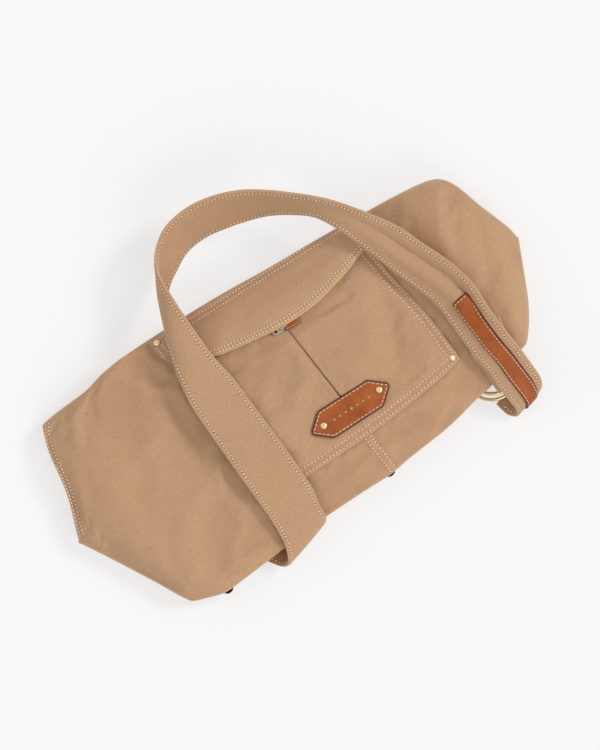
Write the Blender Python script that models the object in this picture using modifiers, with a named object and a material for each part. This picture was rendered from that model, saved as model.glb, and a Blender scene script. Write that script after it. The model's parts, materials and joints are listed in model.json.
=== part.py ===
"""Canvas shoulder bag lying on its back, front pocket up.

Frame: +X along the bag's length, +Y towards its mouth, +Z up.
Origin: centre of the overall footprint, on the surface the bag lies on.
All dimension constants are in millimetres; geometry is written in metres.
"""
import bpy
import bmesh
import math
from mathutils import Vector, Matrix

MM = 0.001

# ---------------------------------------------------------------- dimensions
CANVAS = 1.5            # body canvas thickness
LINING = 0.7            # cotton lining thickness
GAP = 0.3               # clearance between touching pieces
HALF_X = 216.5          # half length of the body panels
SEAM_Z = 20.0           # height of the side seam line in the middle
FRONT_Z = 36.0          # height of the front panel's flat middle
END_BULGE = 11.0        # extra height of the stuffed right end
MOUTH_HALF = 7.0        # half height of the open mouth
MOUTH_X = (-135.0, 150.0)
POCKET_RISE = 6.5       # hollow height under the patch pocket
FLAP_RISE = 14.2        # underside of the flap above the front panel
ZIP_Y = 35.0
ZIP_X = (-42.0, 66.0)
SLIDER_X = 11.0
STRAP_T = 3.0           # strap thickness
PLEAT_GAP = 0.8
RING_CENTRES = ((140.7, -104.5), (143.4, -100.2))
RING_TAB_X = 142.5
RING_R = 21.7           # ring wire centre-line radius
RING_WIRE = 1.3         # ring wire radius
RING_Z = (5.6, 9.0)
LABEL_CENTRE = (27.0, -65.0)
LABEL_SIZE = (75.0, 26.6)
HINGE_Y = -116.0        # strap hinge line across both legs
HINGE_Z = 33.3
FLAP_HINGE = (58.0, 41.6)   # y, z of the flap's fold line

# Lower and right edges of the patch pocket, slightly askew
POCKET_BOTTOM = [(-75.0, -93.0), (-34.0, -92.3), (28.0, -91.0), (80.0, -86.9), (117.5, -81.3), (124.0, -79.5)]
POCKET_RIGHT = [(-93.0, 124.4), (-80.0, 124.2), (-60.0, 123.4), (-36.0, 121.7), (-17.5, 118.8), (0.0, 115.3),
                (34.0, 110.6), (66.0, 105.0)]

# Outline of the bag seen from above, as design stations (x, y)
TOP_EDGE = [(-218.4, -34.0), (-212.0, -21.0), (-203.5, 12.0), (-199.7, 42.0), (-192.0, 60.0),
            (-150.0, 64.5), (-108.0, 72.3), (-44.0, 72.8), (35.0, 68.5), (125.0, 62.5),
            (176.0, 59.0), (190.0, 53.5), (200.0, 38.0), (212.6, 2.0), (218.5, -21.0)]
BOTTOM_EDGE = [(-218.4, -38.0), (-208.8, -54.0), (-183.7, -99.7), (-172.0, -121.0), (-158.0, -130.3),
               (-139.6, -136.0), (-101.0, -132.0), (-36.0, -128.3), (22.0, -128.6), (82.0, -122.7),
               (124.6, -111.2), (170.4, -100.9), (182.0, -94.5), (203.4, -57.8), (218.5, -27.0)]


# ---------------------------------------------------------------- helpers
def table(pts, x):
    """Monotone cubic through design stations."""
    n = len(pts)
    if x <= pts[0][0]:
        return pts[0][1]
    if x >= pts[-1][0]:
        return pts[-1][1]
    d = [(pts[i + 1][1] - pts[i][1]) / (pts[i + 1][0] - pts[i][0]) for i in range(n - 1)]
    m = [d[0]] + [0.0 if d[i - 1] * d[i] <= 0 else 2 * d[i - 1] * d[i] / (d[i - 1] + d[i])
                  for i in range(1, n - 1)] + [d[-1]]
    for i in range(n - 1):
        if x <= pts[i + 1][0]:
            h = pts[i + 1][0] - pts[i][0]
            t = (x - pts[i][0]) / h
            return ((2 * t ** 3 - 3 * t ** 2 + 1) * pts[i][1] + (t ** 3 - 2 * t ** 2 + t) * h * m[i]
                    + (-2 * t ** 3 + 3 * t ** 2) * pts[i + 1][1] + (t ** 3 - t ** 2) * h * m[i + 1])


def smooth(a, b, x):
    t = min(1.0, max(0.0, (x - a) / (b - a)))
    return t * t * (3 - 2 * t)


def y_top(x):
    return table(TOP_EDGE, x)


def y_bot(x):
    return table(BOTTOM_EDGE, x)


def across(x, y):
    """0 at the bottom edge, 1 at the mouth edge."""
    yb, yt = y_bot(x), y_top(x)
    return min(1.0, max(0.0, (y - yb) / (yt - yb)))


def end_shape(x):
    p = 7.0 if x < 0 else 12.0
    return math.sqrt(max(0.0, 1 - (abs(x) / (HALF_X + 0.2)) ** p))


def seam_z(x):
    if x < 0:
        return SEAM_Z - 11.0 * smooth(140, 216, -x)
    return SEAM_Z - 3.0 * smooth(150, 216, x)


def mouth(x, s):
    """Half gap between front and back along the edges."""
    m = smooth(MOUTH_X[0] - 25, MOUTH_X[0] + 15, x) * (1 - smooth(MOUTH_X[1] - 15, MOUTH_X[1] + 25, x))
    return 1.7 + (MOUTH_HALF - 1.7) * m * smooth(0.75, 1.0, s)


def pillow(s):
    c = abs(2 * s - 1)
    p = 4.0 if s > 0.5 else 3.0
    return math.sqrt(max(0.0, 1 - c ** p))


def front_z(x, y):
    s = across(x, y)
    z0 = seam_z(x) + mouth(x, s)
    crown = FRONT_Z + END_BULGE * math.exp(-((x - 176) / 34.0) ** 2)
    return z0 + (crown - z0) * end_shape(x) * pillow(s)


def back_z(x, y):
    s = across(x, y)
    z0 = seam_z(x) - mouth(x, s)
    t = 1 - abs(2 * s - 1)
    flat = 1.0 if t > 0.30 else math.sin(0.5 * math.pi * t / 0.30)
    edge = min(1.0, end_shape(x) * 1.35)
    z = z0 * (1 - flat * edge)
    # hollow where the bag lies on its rings and their tab
    dent = 15.0 * math.exp(-(abs(x - 142.5) / 34.0) ** 4 - (abs(y + 96.0) / 38.0) ** 4)
    return max(z, min(dent, z0))


def centre_x(y):
    """Centre seam of the front panel, slightly askew as the bag lies."""
    return 13.1 + (67.8 - y) * 0.0877


COLL = None
CUT = None


def material(name, rgb, rough, metal=0.0):
    m = bpy.data.materials.new(name)
    m.use_nodes = True
    b = m.node_tree.nodes["Principled BSDF"]
    b.inputs["Base Color"].default_value = (*rgb, 1)
    b.inputs["Roughness"].default_value = rough
    b.inputs["Metallic"].default_value = metal
    return m


def add_mesh(name, me, mat, smooth_shade=True):
    ob = bpy.data.objects.new(name, me)
    COLL.objects.link(ob)
    me.materials.append(material(name + "_mat", *mat))
    if smooth_shade:
        me.shade_smooth()
        me.set_sharp_from_angle(angle=math.radians(40))
    return ob


def sheet(name, nx, ny, place, thick, offset, mat):
    """A grid bent by place(u, v) -> (x, y, z) in mm, given a thickness."""
    bm = bmesh.new()
    bmesh.ops.create_grid(bm, x_segments=nx, y_segments=ny, size=0.5)
    for v in bm.verts:
        p = place(v.co.x + 0.5, v.co.y + 0.5)
        v.co = Vector(p) * MM
    me = bpy.data.meshes.new(name)
    bm.to_mesh(me)
    bm.free()
    ob = add_mesh(name, me, mat)
    s = ob.modifiers.new("thickness", "SOLIDIFY")
    s.thickness = thick * MM
    s.offset = offset
    s.use_even_offset = False
    return ob


def prism(name, outline, z0, z1, mat, bevel=0.0):
    """Flat outline in XY raised from z0 to z1."""
    bm = bmesh.new()
    vs = [bm.verts.new((x * MM, y * MM, z0 * MM)) for x, y in outline]
    f = bm.faces.new(vs)
    if f.normal.z > 0:
        f.normal_flip()
    r = bmesh.ops.extrude_face_region(bm, geom=[f])
    up = [v for v in r["geom"] if isinstance(v, bmesh.types.BMVert)]
    bmesh.ops.translate(bm, verts=up, vec=(0, 0, (z1 - z0) * MM))
    bmesh.ops.recalc_face_normals(bm, faces=bm.faces)
    me = bpy.data.meshes.new(name)
    bm.to_mesh(me)
    bm.free()
    ob = add_mesh(name, me, mat)
    if bevel:
        b = ob.modifiers.new("edge", "BEVEL")
        b.width = bevel * MM
        b.segments = 2
        b.limit_method = "ANGLE"
        b.angle_limit = math.radians(40)
    return ob


def cylinder(name, x, y, z0, z1, r, mat, dome=0.0):
    """Turned rivet or snap half: profile run down its outer side, then Screw."""
    me = bpy.data.meshes.new(name)
    prof = [(0, z1), (r * 0.55, z1 - dome * 0.25), (r, z1 - dome), (r, z0), (0, z0)]
    me.from_pydata([(a * MM, 0, b * MM) for a, b in prof], [(i, i + 1) for i in range(4)], [])
    ob = bpy.data.objects.new(name, me)
    COLL.objects.link(ob)
    ob.location = (x * MM, y * MM, 0)
    me.materials.append(material(name + "_mat", *mat))
    s = ob.modifiers.new("turn", "SCREW")
    s.steps = 20
    s.render_steps = 20
    s.use_merge_vertices = True
    s.merge_threshold = 0.00001
    s.use_smooth_shade = True
    return ob


def catmull(pts, t):
    n = len(pts) - 1
    f = min(max(t, 0.0), 1.0) * n
    i = min(int(f), n - 1)
    f -= i
    p0 = pts[max(i - 1, 0)]
    p1, p2 = pts[i], pts[i + 1]
    p3 = pts[min(i + 2, n)]
    return [0.5 * (2 * b + (c - a) * f + (2 * a - 5 * b + 4 * c - d) * f * f
                   + (3 * b - a - 3 * c + d) * f ** 3) for a, b, c, d in zip(p0, p1, p2, p3)]


def ribbon(name, stations, nx, ny, thick, mat):
    """Strap swept through stations; each gives its two edge points."""
    e1 = [s[0] for s in stations]
    e2 = [s[1] for s in stations]

    def place(u, v):
        a = catmull(e1, u)
        b = catmull(e2, u)
        return [p + (q - p) * v for p, q in zip(a, b)]
    return sheet(name, nx, ny, place, thick, 0.0, mat)


# ---------------------------------------------------------------- colours
KHAKI = ((0.50, 0.32, 0.19), 0.85)
KHAKI_DARK = ((0.44, 0.28, 0.165), 0.85)
GOLD_COTTON = ((0.62, 0.43, 0.14), 0.8)
LEATHER = ((0.38, 0.11, 0.035), 0.5)
PALE_BRASS = ((0.83, 0.68, 0.40), 0.25, 1.0)
NICKEL = ((0.78, 0.74, 0.72), 0.3, 1.0)
GUNMETAL = ((0.05, 0.05, 0.055), 0.35, 1.0)
TAPE = ((0.45, 0.33, 0.20), 0.8)


def body_panels():
    def front(u, v, left):
        s = 0.5 - 0.5 * math.cos(math.pi * v)
        w = 0.5 - 0.5 * math.cos(math.pi * (u * 0.5 if left else 0.5 + u * 0.5))
        x0, x1 = -HALF_X, HALF_X
        k = w * 2 if left else w * 2 - 1
        x = x0 + (21.6 - x0) * k if left else 21.6 + (x1 - 21.6) * k
        for _ in range(3):
            y = y_bot(x) + (y_top(x) - y_bot(x)) * s
            c = centre_x(y) + (-0.2 if left else 0.2)
            x = x0 + (c - x0) * k if left else c + (x1 - c) * k
        y = y_bot(x) + (y_top(x) - y_bot(x)) * s
        return x, y, front_z(x, y)

    sheet("front_panel_left", 18, 12, lambda u, v: front(u, v, True), CANVAS, -1.0, KHAKI)
    sheet("front_panel_right", 16, 12, lambda u, v: front(u, v, False), CANVAS, -1.0, KHAKI)

    def back(u, v):
        s = 0.5 - 0.5 * math.cos(math.pi * v)
        w = 0.5 - 0.5 * math.cos(math.pi * u)
        x = -HALF_X + 2 * HALF_X * w
        y = y_bot(x) + (y_top(x) - y_bot(x)) * s
        return x, y, back_z(x, y)
    sheet("back_panel", 32, 14, back, CANVAS, 1.0, KHAKI_DARK)

    def lined(u, v, side):
        s = 0.07 + 0.87 * (0.5 - 0.5 * math.cos(math.pi * v))
        x = -186.0 + 378.0 * u
        y = y_bot(x) + (y_top(x) - y_bot(x)) * s
        e = 4.0

        def f(px, py):
            return front_z(px, py) if side > 0 else back_z(px, py)
        gx = (f(x + e, y) - f(x - e, y)) / (2 * e)
        gy = (f(x, y + e) - f(x, y - e)) / (2 * e)
        n = Vector((-gx, -gy, 1.0)).normalized() * (CANVAS + GAP + (1.0 if side > 0 else 3.2)) * (-side)
        return x + n.x, y + n.y, f(x, y) + n.z
    sheet("lining_front", 28, 12, lambda u, v: lined(u, v, 1), LINING, -1.0, GOLD_COTTON)
    sheet("lining_back", 28, 12, lambda u, v: lined(u, v, -1), LINING, 1.0, GOLD_COTTON)


def pocket_edge(y, side):
    """x of the pocket's left or right side, slightly askew."""
    if side < 0:
        return -81.0 + (71.0 - y) * 0.084
    return table(POCKET_RIGHT, y)


def pocket_z(x, y):
    """Underside of the pocket panel: down on the body at sides and bottom."""
    d = min(x - pocket_edge(y, -1), pocket_edge(y, 1) - x, y - table(POCKET_BOTTOM, x))
    r = smooth(0.0, 11.0, d)
    return front_z(x, y) + 0.35 + (POCKET_RISE - 0.35) * r


def pocket():
    def panel(u, v, left):
        # cluster rows at the outer side and at the bottom; beyond the zip the
        # panel runs on up under the flap
        k = v ** 1.35
        y = -91.0 + (30.0 + 91.0) * k
        for _ in range(3):
            c = centre_x(y)
            if left:
                a = pocket_edge(y, -1)
                x = a + (c - PLEAT_GAP / 2 - a) * (u ** 1.4)
                up = 9.4 * smooth(-50, -58, x)
            else:
                a = pocket_edge(y, 1)
                x = a + (c + PLEAT_GAP / 2 - a) * ((1 - u) ** 1.4)
                up = 9.4 * smooth(72, 82, x)
            lo = table(POCKET_BOTTOM, x)
            y = lo + (30.0 + up - lo) * k
        return x, y, pocket_z(x, y)
    sheet("pocket_panel_left", 12, 10, lambda u, v: panel(u, v, True), CANVAS, 1.0, KHAKI)
    sheet("pocket_panel_right", 14, 10, lambda u, v: panel(u, v, False), CANVAS, 1.0, KHAKI)

    def underlay(u, v):
        y = -70.0 + 98.0 * v
        x = centre_x(y) - 15.0 + 30.0 * u
        return x, y, front_z(x, y) + POCKET_RISE - 0.35
    sheet("pocket_pleat_underlay", 4, 8, underlay, 1.0, -1.0, KHAKI_DARK)

    def band(u, v):
        y = 40.2 + 13.6 * v
        a, b = pocket_edge(y, -1) + 1.0, pocket_edge(y, 1) - 1.0
        x = a + (b - a) * u
        d = min(x - a, b - x)
        r = smooth(0.0, 11.0, d)
        return x, y, front_z(x, y) + 0.35 + (POCKET_RISE - 0.35) * r * (1 - 0.9 * smooth(0.1, 1.0, v))
    sheet("pocket_top_band", 18, 4, band, CANVAS, 1.0, KHAKI)


def zip_parts():
    def z_plane(x):
        return front_z(x, ZIP_Y) + POCKET_RISE

    def tape(u, v, lo, hi):
        x = ZIP_X[0] - 4 + (ZIP_X[1] - ZIP_X[0] + 8) * u
        return x, lo + (hi - lo) * v, z_plane(SLIDER_X) + 0.2
    zt = z_plane(SLIDER_X)
    sheet("zip_tape_lower", 4, 1, lambda u, v: tape(u, v, 30.6, 34.8), 0.8, 1.0, TAPE)
    sheet("zip_tape_upper", 4, 1, lambda u, v: tape(u, v, 35.2, 39.6), 0.8, 1.0, TAPE)
    for nm, lo, hi in (("zip_teeth_lower", 33.9, 34.85), ("zip_teeth_upper", 35.15, 36.1)):
        prism(nm, [(ZIP_X[0], lo), (ZIP_X[1], lo), (ZIP_X[1], hi), (ZIP_X[0], hi)],
              zt + 1.3, zt + 2.7, NICKEL)
    for nm, x in (("zip_stop_left", ZIP_X[0] - 2.2), ("zip_stop_right", ZIP_X[1] + 2.2)):
        prism(nm, [(x - 1.6, 33.4), (x + 1.6, 33.4), (x + 1.6, 36.6), (x - 1.6, 36.6)],
              zt + 1.3, zt + 3.0, NICKEL, 0.3)
    # slider: a channel over the teeth with a bridge for the pull
    z0 = zt + 1.35
    prof = [(31.4, z0), (33.3, z0), (33.3, z0 + 1.75), (36.7, z0 + 1.75), (36.7, z0), (38.6, z0),
            (38.6, z0 + 2.9), (31.4, z0 + 2.9)]
    bm = bmesh.new()
    vs = [bm.verts.new(((SLIDER_X - 5) * MM, y * MM, z * MM)) for y, z in prof]
    f = bm.faces.new(vs)
    r = bmesh.ops.extrude_face_region(bm, geom=[f])
    bmesh.ops.translate(bm, verts=[v for v in r["geom"] if isinstance(v, bmesh.types.BMVert)],
                        vec=(10 * MM, 0, 0))
    bmesh.ops.recalc_face_normals(bm, faces=bm.faces)
    me = bpy.data.meshes.new("zip_slider")
    bm.to_mesh(me)
    bm.free()
    sl = add_mesh("zip_slider", me, NICKEL)
    # post on the slider, and the pull link that turns on it
    post = cylinder("slider_post_tool", SLIDER_X, ZIP_Y, z0 + 2.4, z0 + 4.6, 1.1, NICKEL)
    dg = bpy.context.evaluated_depsgraph_get()
    pm = bpy.data.meshes.new_from_object(post.evaluated_get(dg))
    po = bpy.data.objects.new("slider_post_cutter", pm)
    po.matrix_world = post.matrix_world
    po.location = post.location
    bpy.data.objects.remove(post)
    CUT.objects.link(po)
    po.hide_render = True
    po.display_type = "WIRE"
    b = sl.modifiers.new("post", "BOOLEAN")
    b.operation = "UNION"
    b.object = po
    zl = z0 + 3.2
    link = prism("zip_pull_link", capsule((SLIDER_X, ZIP_Y), (SLIDER_X + 1.2, 20.8), 2.9, 8),
                 zl, zl + 1.1, NICKEL)
    foot = prism("zip_link_foot_cutter", capsule((9.8, 20.8), (14.5, 20.7), 2.6, 8), zl, zl + 1.1, NICKEL)
    COLL.objects.unlink(foot)
    CUT.objects.link(foot)
    foot.hide_render = True
    foot.display_type = "WIRE"
    uu = link.modifiers.new("foot", "BOOLEAN")
    uu.operation = "UNION"
    uu.object = foot
    for i, (cx, cy, rr) in enumerate([(SLIDER_X, ZIP_Y, 1.5), (9.8, 20.8, 1.2), (14.5, 20.7, 1.2)]):
        c = cylinder_cutter("link_hole_%d_cutter" % i, cx, cy, zl - 1, zl + 2.2, rr)
        bb = link.modifiers.new("hole%d" % i, "BOOLEAN")
        bb.operation = "DIFFERENCE"
        bb.object = c
    # leather tab folded round a wire eye at the link's end
    prism("zip_pull_tab", capsule((21.4, 19.4), (29.0, 19.0), 3.3, 8), zl - 0.4, zl + 1.4, LEATHER)
    eye = prism("zip_tab_eye", capsule((14.4, 20.7), (14.6, 20.7), 0.8, 8),
                zl - 1.3, zl + 2.0, NICKEL)
    arm = prism("zip_tab_arm_tool", [(13.9, 20.1), (20.0, 20.1), (20.0, 21.3), (13.9, 21.3)],
                zl + 1.7, zl + 2.4, NICKEL)
    arm.name = "zip_tab_arm_cutter"
    COLL.objects.unlink(arm)
    CUT.objects.link(arm)
    arm.hide_render = True
    arm.display_type = "WIRE"
    u = eye.modifiers.new("arm", "BOOLEAN")
    u.operation = "UNION"
    u.object = arm


def capsule(a, b, r, n):
    """Outline with round ends around the line from a to b."""
    ang = math.atan2(b[1] - a[1], b[0] - a[0])
    pts = []
    for i in range(n + 1):
        t = ang - math.pi / 2 + math.pi * i / n
        pts.append((b[0] + r * math.cos(t), b[1] + r * math.sin(t)))
    for i in range(n + 1):
        t = ang + math.pi / 2 + math.pi * i / n
        pts.append((a[0] + r * math.cos(t), a[1] + r * math.sin(t)))
    return pts


def cylinder_cutter(name, x, y, z0, z1, r):
    bm = bmesh.new()
    bmesh.ops.create_cone(bm, cap_ends=True, segments=16, radius1=r * MM, radius2=r * MM,
                          depth=(z1 - z0) * MM)
    me = bpy.data.meshes.new(name)
    bm.to_mesh(me)
    bm.free()
    ob = bpy.data.objects.new(name, me)
    ob.location = (x * MM, y * MM, (z0 + z1) / 2 * MM)
    CUT.objects.link(ob)
    ob.hide_render = True
    ob.display_type = "WIRE"
    return ob


def flap_edge_y(x):
    """Lower curved edge of the flap."""
    return table([(-82.0, 50.5), (-76.0, 46.7), (-60.0, 38.6), (-39.3, 31.0), (-12.0, 26.2), (25.0, 22.2),
                  (54.0, 24.4), (76.0, 29.6), (90.0, 33.5), (107.8, 39.4)], x)


def flap():
    def rise(x, y):
        k = smooth(FLAP_HINGE[0] + 2, FLAP_HINGE[0] - 16, y)
        d = min(x + 81.0, 107.0 - x)
        side = 0.78 + 0.22 * smooth(0, 26, d)
        return 8.2 + (FLAP_RISE * side - 8.2) * k

    def outer(u, v):
        x = -80.5 + 187.0 * u
        ye = flap_edge_y(x)
        y = ye + (y_top(x) - 2.6 - ye) * v
        return x, y, front_z(x, y) + rise(x, y) + 1.0
    sheet("pocket_flap", 20, 6, outer, CANVAS, 1.0, KHAKI)

    def under(u, v):
        x = -79.5 + 185.0 * u
        ye = flap_edge_y(x) - 1.0
        y = ye + (FLAP_HINGE[0] + 2.0 - ye) * v
        return x, y, front_z(x, y) + rise(x, y) + 0.1
    sheet("flap_facing", 20, 6, under, LINING, -1.0, GOLD_COTTON)
    for nm, x, y in (("flap_rivet_left", -76.7, 66.3), ("flap_rivet_right", 102.6, 57.6)):
        z = max(front_z(x + a, y + b) + rise(x + a, y + b) for a in (-3, 0, 3) for b in (-3, 0, 3))
        cylinder(nm, x, y, z + 2.9, z + 4.0, 2.9, PALE_BRASS, 0.6)


def label():
    cx, cy = LABEL_CENTRE
    hx, hy = LABEL_SIZE[0] / 2, LABEL_SIZE[1] / 2
    z = max(pocket_z(cx + a, cy + b) for a in (-37, 0, 37) for b in (-13, 0, 13)) + CANVAS + 0.35
    out = [(cx - hx, cy), (cx - hx + 14.5, cy - hy), (cx + hx - 14.5, cy - hy),
           (cx + hx, cy), (cx + hx - 14.5, cy + hy), (cx - hx + 14.5, cy + hy)]
    prism("leather_label", out, z, z + 2.0, LEATHER, 0.5)
    for nm, x in (("label_rivet_left", cx - 27.3), ("label_rivet_right", cx + 27.3)):
        cylinder(nm, x, cy + 0.3, z + 2.3, z + 3.4, 2.7, PALE_BRASS, 0.6)


def rivets():
    spots = {"pocket_rivet_lower_right": (119.8, -75.8), "pocket_rivet_lower_left": (-64.3, -87.8)}
    for nm, (x, y) in spots.items():
        z = max(pocket_z(x + a, y + b) for a in (-3, 0, 3) for b in (-3, 0, 3)) + CANVAS + 0.35
        cylinder(nm, x, y, z, z + 1.2, 2.9, PALE_BRASS, 0.6)


def snap():
    x, y = 10.0, 50.0
    disc = [(x + 7 * math.cos(a * math.pi / 4), y + 7 * math.sin(a * math.pi / 4)) for a in range(8)]
    lo = max(back_z(a, b) for a, b in disc) + CANVAS + GAP + 2.2 + LINING + 1.0
    hi = min(front_z(a, b) for a, b in disc) - CANVAS - GAP - 1.0 - LINING - 1.0
    cylinder("snap_stud", x, y, lo, lo + 3.0, 7.0, NICKEL, 0.5)
    cylinder("snap_socket", x, y, hi - 3.0, hi, 7.0, NICKEL, 0.5)


def strap():
    h = HINGE_Y
    stations = [
        ((-77.5, h + 0.5, HINGE_Z), (-36.0, h + 0.5, HINGE_Z)),
        ((-77.2, -103, 39.5), (-35.4, -103, 39.5)),
        ((-77.2, -88, 45.2), (-36.0, -88, 45.2)),
        ((-77.4, -68, 48.2), (-38.0, -68, 48.2)),
        ((-78.6, -44, 49.2), (-38.9, -42, 49.2)),
        ((-80.3, -17, 49.8), (-39.4, -17, 49.8)),
        ((-80.7, 8, 52.0), (-40.4, 8, 52.0)),
        ((-79.2, 30, 57.0), (-43.5, 30, 57.0)),
        ((-75.2, 47, 58.5), (-44.1, 52, 58.5)),
        ((-69.8, 63, 57.0), (-43.7, 74, 59.5)),
        ((-62.0, 78, 46.0), (-44.6, 91, 61.0)),
        ((-53.0, 91, 34.0), (-44.6, 106, 61.0)),
        ((-44.0, 100, 26.5), (-40.5, 119.5, 60.0)),
        ((-33.0, 107, 22.5), (-31.0, 132.5, 58.5)),
        ((-16.0, 116, 21.0), (-17.0, 142.0, 56.0)),
        ((4.0, 118, 22.0), (5.0, 144.5, 54.5)),
        ((24.0, 115, 25.0), (27.0, 141.5, 55.0)),
        ((42.0, 110, 29.5), (47.5, 133.5, 57.0)),
        ((59.0, 103.4, 36.0), (67.0, 121.0, 60.0)),
        ((75.0, 93.5, 45.0), (86.0, 105.5, 64.0)),
        ((88.5, 81.0, 53.0), (105.5, 86.5, 68.0)),
        ((98.2, 63.5, 58.0), (123.0, 64.5, 70.0)),
        ((106.0, 43.0, 58.0), (139.0, 40.0, 69.0)),
        ((113.2, 23.3, 55.5), (149.0, 17.0, 67.0)),
        ((121.0, 1.0, 52.5), (158.0, -3.0, 66.0)),
        ((128.0, -18.0, 51.0), (164.0, -22.0, 65.5)),
        ((132.8, -36.0, 50.0), (166.5, -38.0, 65.0)),
        ((134.0, -60.0, 48.0), (166.5, -60.0, 62.5)),
        ((135.4, -82.0, 43.5), (168.2, -82.0, 57.0)),
        ((138.2, -99.0, 36.0), (170.2, -99.0, 47.0)),
        ((138.5, h + 0.5, HINGE_Z - 2.0), (171.5, h + 0.5, HINGE_Z + 1.4)),
    ]
    ribbon("strap_main", stations, 72, 2, STRAP_T, KHAKI)

    # doubled end of the strap, stitched under the right leg
    lo = [((e1[0] - 2.5, e1[1], e1[2] - 5.0), (e2[0] - 3.0, e2[1], e2[2] - 5.0))
          for e1, e2 in stations[25:29]]
    ribbon("strap_doubled_end", lo, 10, 1, 2.0, KHAKI_DARK)

    # leather patch along the middle of the right leg
    pa = []
    for e1, e2 in stations[25:30]:
        a = [p + (q - p) * 0.30 for p, q in zip(e1, e2)]
        b = [p + (q - p) * 0.74 for p, q in zip(e1, e2)]
        n = (Vector(e2) - Vector(e1)).cross(Vector((0, -1, 0)))
        n = n.normalized() * 3.0
        if n.z < 0:
            n = -n
        pa.append(([a[i] + n[i] for i in range(3)], [b[i] + n[i] for i in range(3)]))
    ribbon("strap_leather_patch", pa, 18, 1, 1.8, LEATHER)

    # the two folds that stay with the bag
    left = [((-77.5, h - 3.6, 32.6), (-36.0, h - 3.6, 32.6)),
            ((-79.0, -129, 30), (-36.5, -125.0, 30)),
            ((-83.0, -141, 22), (-38.5, -130.6, 25)),
            ((-87.0, -144.35, 11), (-41.5, -132.4, 14)),
            ((-93.0, -138, 3.4), (-48.0, -128.6, 3.4)),
            ((-101.0, -128, 2.4), (-58.0, -118.5, 2.4))]
    ribbon("strap_fold_left", left, 16, 2, STRAP_T - 0.6, KHAKI)
    right = [((138.8, h - 5.6, HINGE_Z - 6.2), (171.5, h - 5.6, HINGE_Z - 2.2)),
             ((140.2, -132, 22.0), (172.0, -126.5, 27)),
             ((140.4, -141, 15.5), (170.0, -134, 18)),
             ((137.6, -143.2, 8.5), (165.5, -136.0, 9.5)),
             ((133.2, -138.5, 3.6), (160.5, -131, 3.6)),
             ((130.8, -129, 1.9), (157.5, -121.5, 1.9))]
    ribbon("strap_fold_right", right, 16, 2, STRAP_T - 0.6, KHAKI)


def base_feet():
    """Small domed studs on the bag's base, standing square to its slope."""
    for nm, x in (("base_foot_left", -138.5), ("base_foot_centre", 25.2)):
        yb = y_bot(x)
        y = yb + 4.6
        n = Vector((0, -(back_z(x, y - 2) - back_z(x, y + 2)) / 4, -1)).normalized()
        c = Vector((x, y, back_z(x, y))) + n * 0.35
        me = bpy.data.meshes.new(nm)
        prof = [(0, 3.4), (2.6, 3.1), (4.2, 2.1), (4.8, 0.7), (4.8, 0), (0, 0)]
        me.from_pydata([(a * MM, 0, b * MM) for a, b in prof], [(i, i + 1) for i in range(5)], [])
        ob = bpy.data.objects.new(nm, me)
        COLL.objects.link(ob)
        ob.location = c * MM
        ob.rotation_euler = Vector((0, 0, 1)).rotation_difference(n).to_euler()
        me.materials.append(material(nm + "_mat", *GUNMETAL))
        s = ob.modifiers.new("turn", "SCREW")
        s.steps = 20
        s.render_steps = 20
        s.use_merge_vertices = True
        s.merge_threshold = 0.00001
        s.use_smooth_shade = True


def rings():
    for nm, z, (cx, cy) in (("ring_lower", RING_Z[0], RING_CENTRES[0]), ("ring_upper", RING_Z[1], RING_CENTRES[1])):
        bpy.ops.mesh.primitive_torus_add(major_segments=40, minor_segments=8,
                                         major_radius=RING_R * MM, minor_radius=RING_WIRE * MM,
                                         location=(cx * MM, cy * MM, z * MM))
        ob = bpy.context.object
        ob.name = nm
        ob.data.name = nm
        for c in list(ob.users_collection):
            c.objects.unlink(ob)
        COLL.objects.link(ob)
        ob.data.materials.append(material(nm + "_mat", *PALE_BRASS))
        ob.data.shade_smooth()

    prof = [(-77.0, 12.0), (-80.0, 12.2), (-86.5, 11.9), (-89.3, 9.6), (-89.3, 5.0), (-86.5, 2.5),
            (-80.0, 2.2), (-77.0, 2.2)]

    def tab(u, v):
        f = v * (len(prof) - 1)
        i = min(int(f + 1e-6), len(prof) - 2)
        t = f - i
        y = prof[i][0] + (prof[i + 1][0] - prof[i][0]) * t
        z = prof[i][1] + (prof[i + 1][1] - prof[i][1]) * t
        return RING_TAB_X - 10 + 20 * u, y, z
    sheet("ring_tab", 1, len(prof) - 1, tab, 1.2, 0.0, KHAKI_DARK)


def main():
    global COLL, CUT
    for ob in list(bpy.data.objects):
        bpy.data.objects.remove(ob, do_unlink=True)
    COLL = bpy.data.collections.new("canvas_shoulder_bag")
    CUT = bpy.data.collections.new("cutters")
    bpy.context.scene.collection.children.link(COLL)
    bpy.context.scene.collection.children.link(CUT)
    body_panels()
    pocket()
    zip_parts()
    flap()
    label()
    rivets()
    snap()
    strap()
    base_feet()
    rings()


main()
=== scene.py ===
import bpy, bmesh, json, math
import numpy as np
from mathutils import Vector, Matrix, noise

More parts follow.
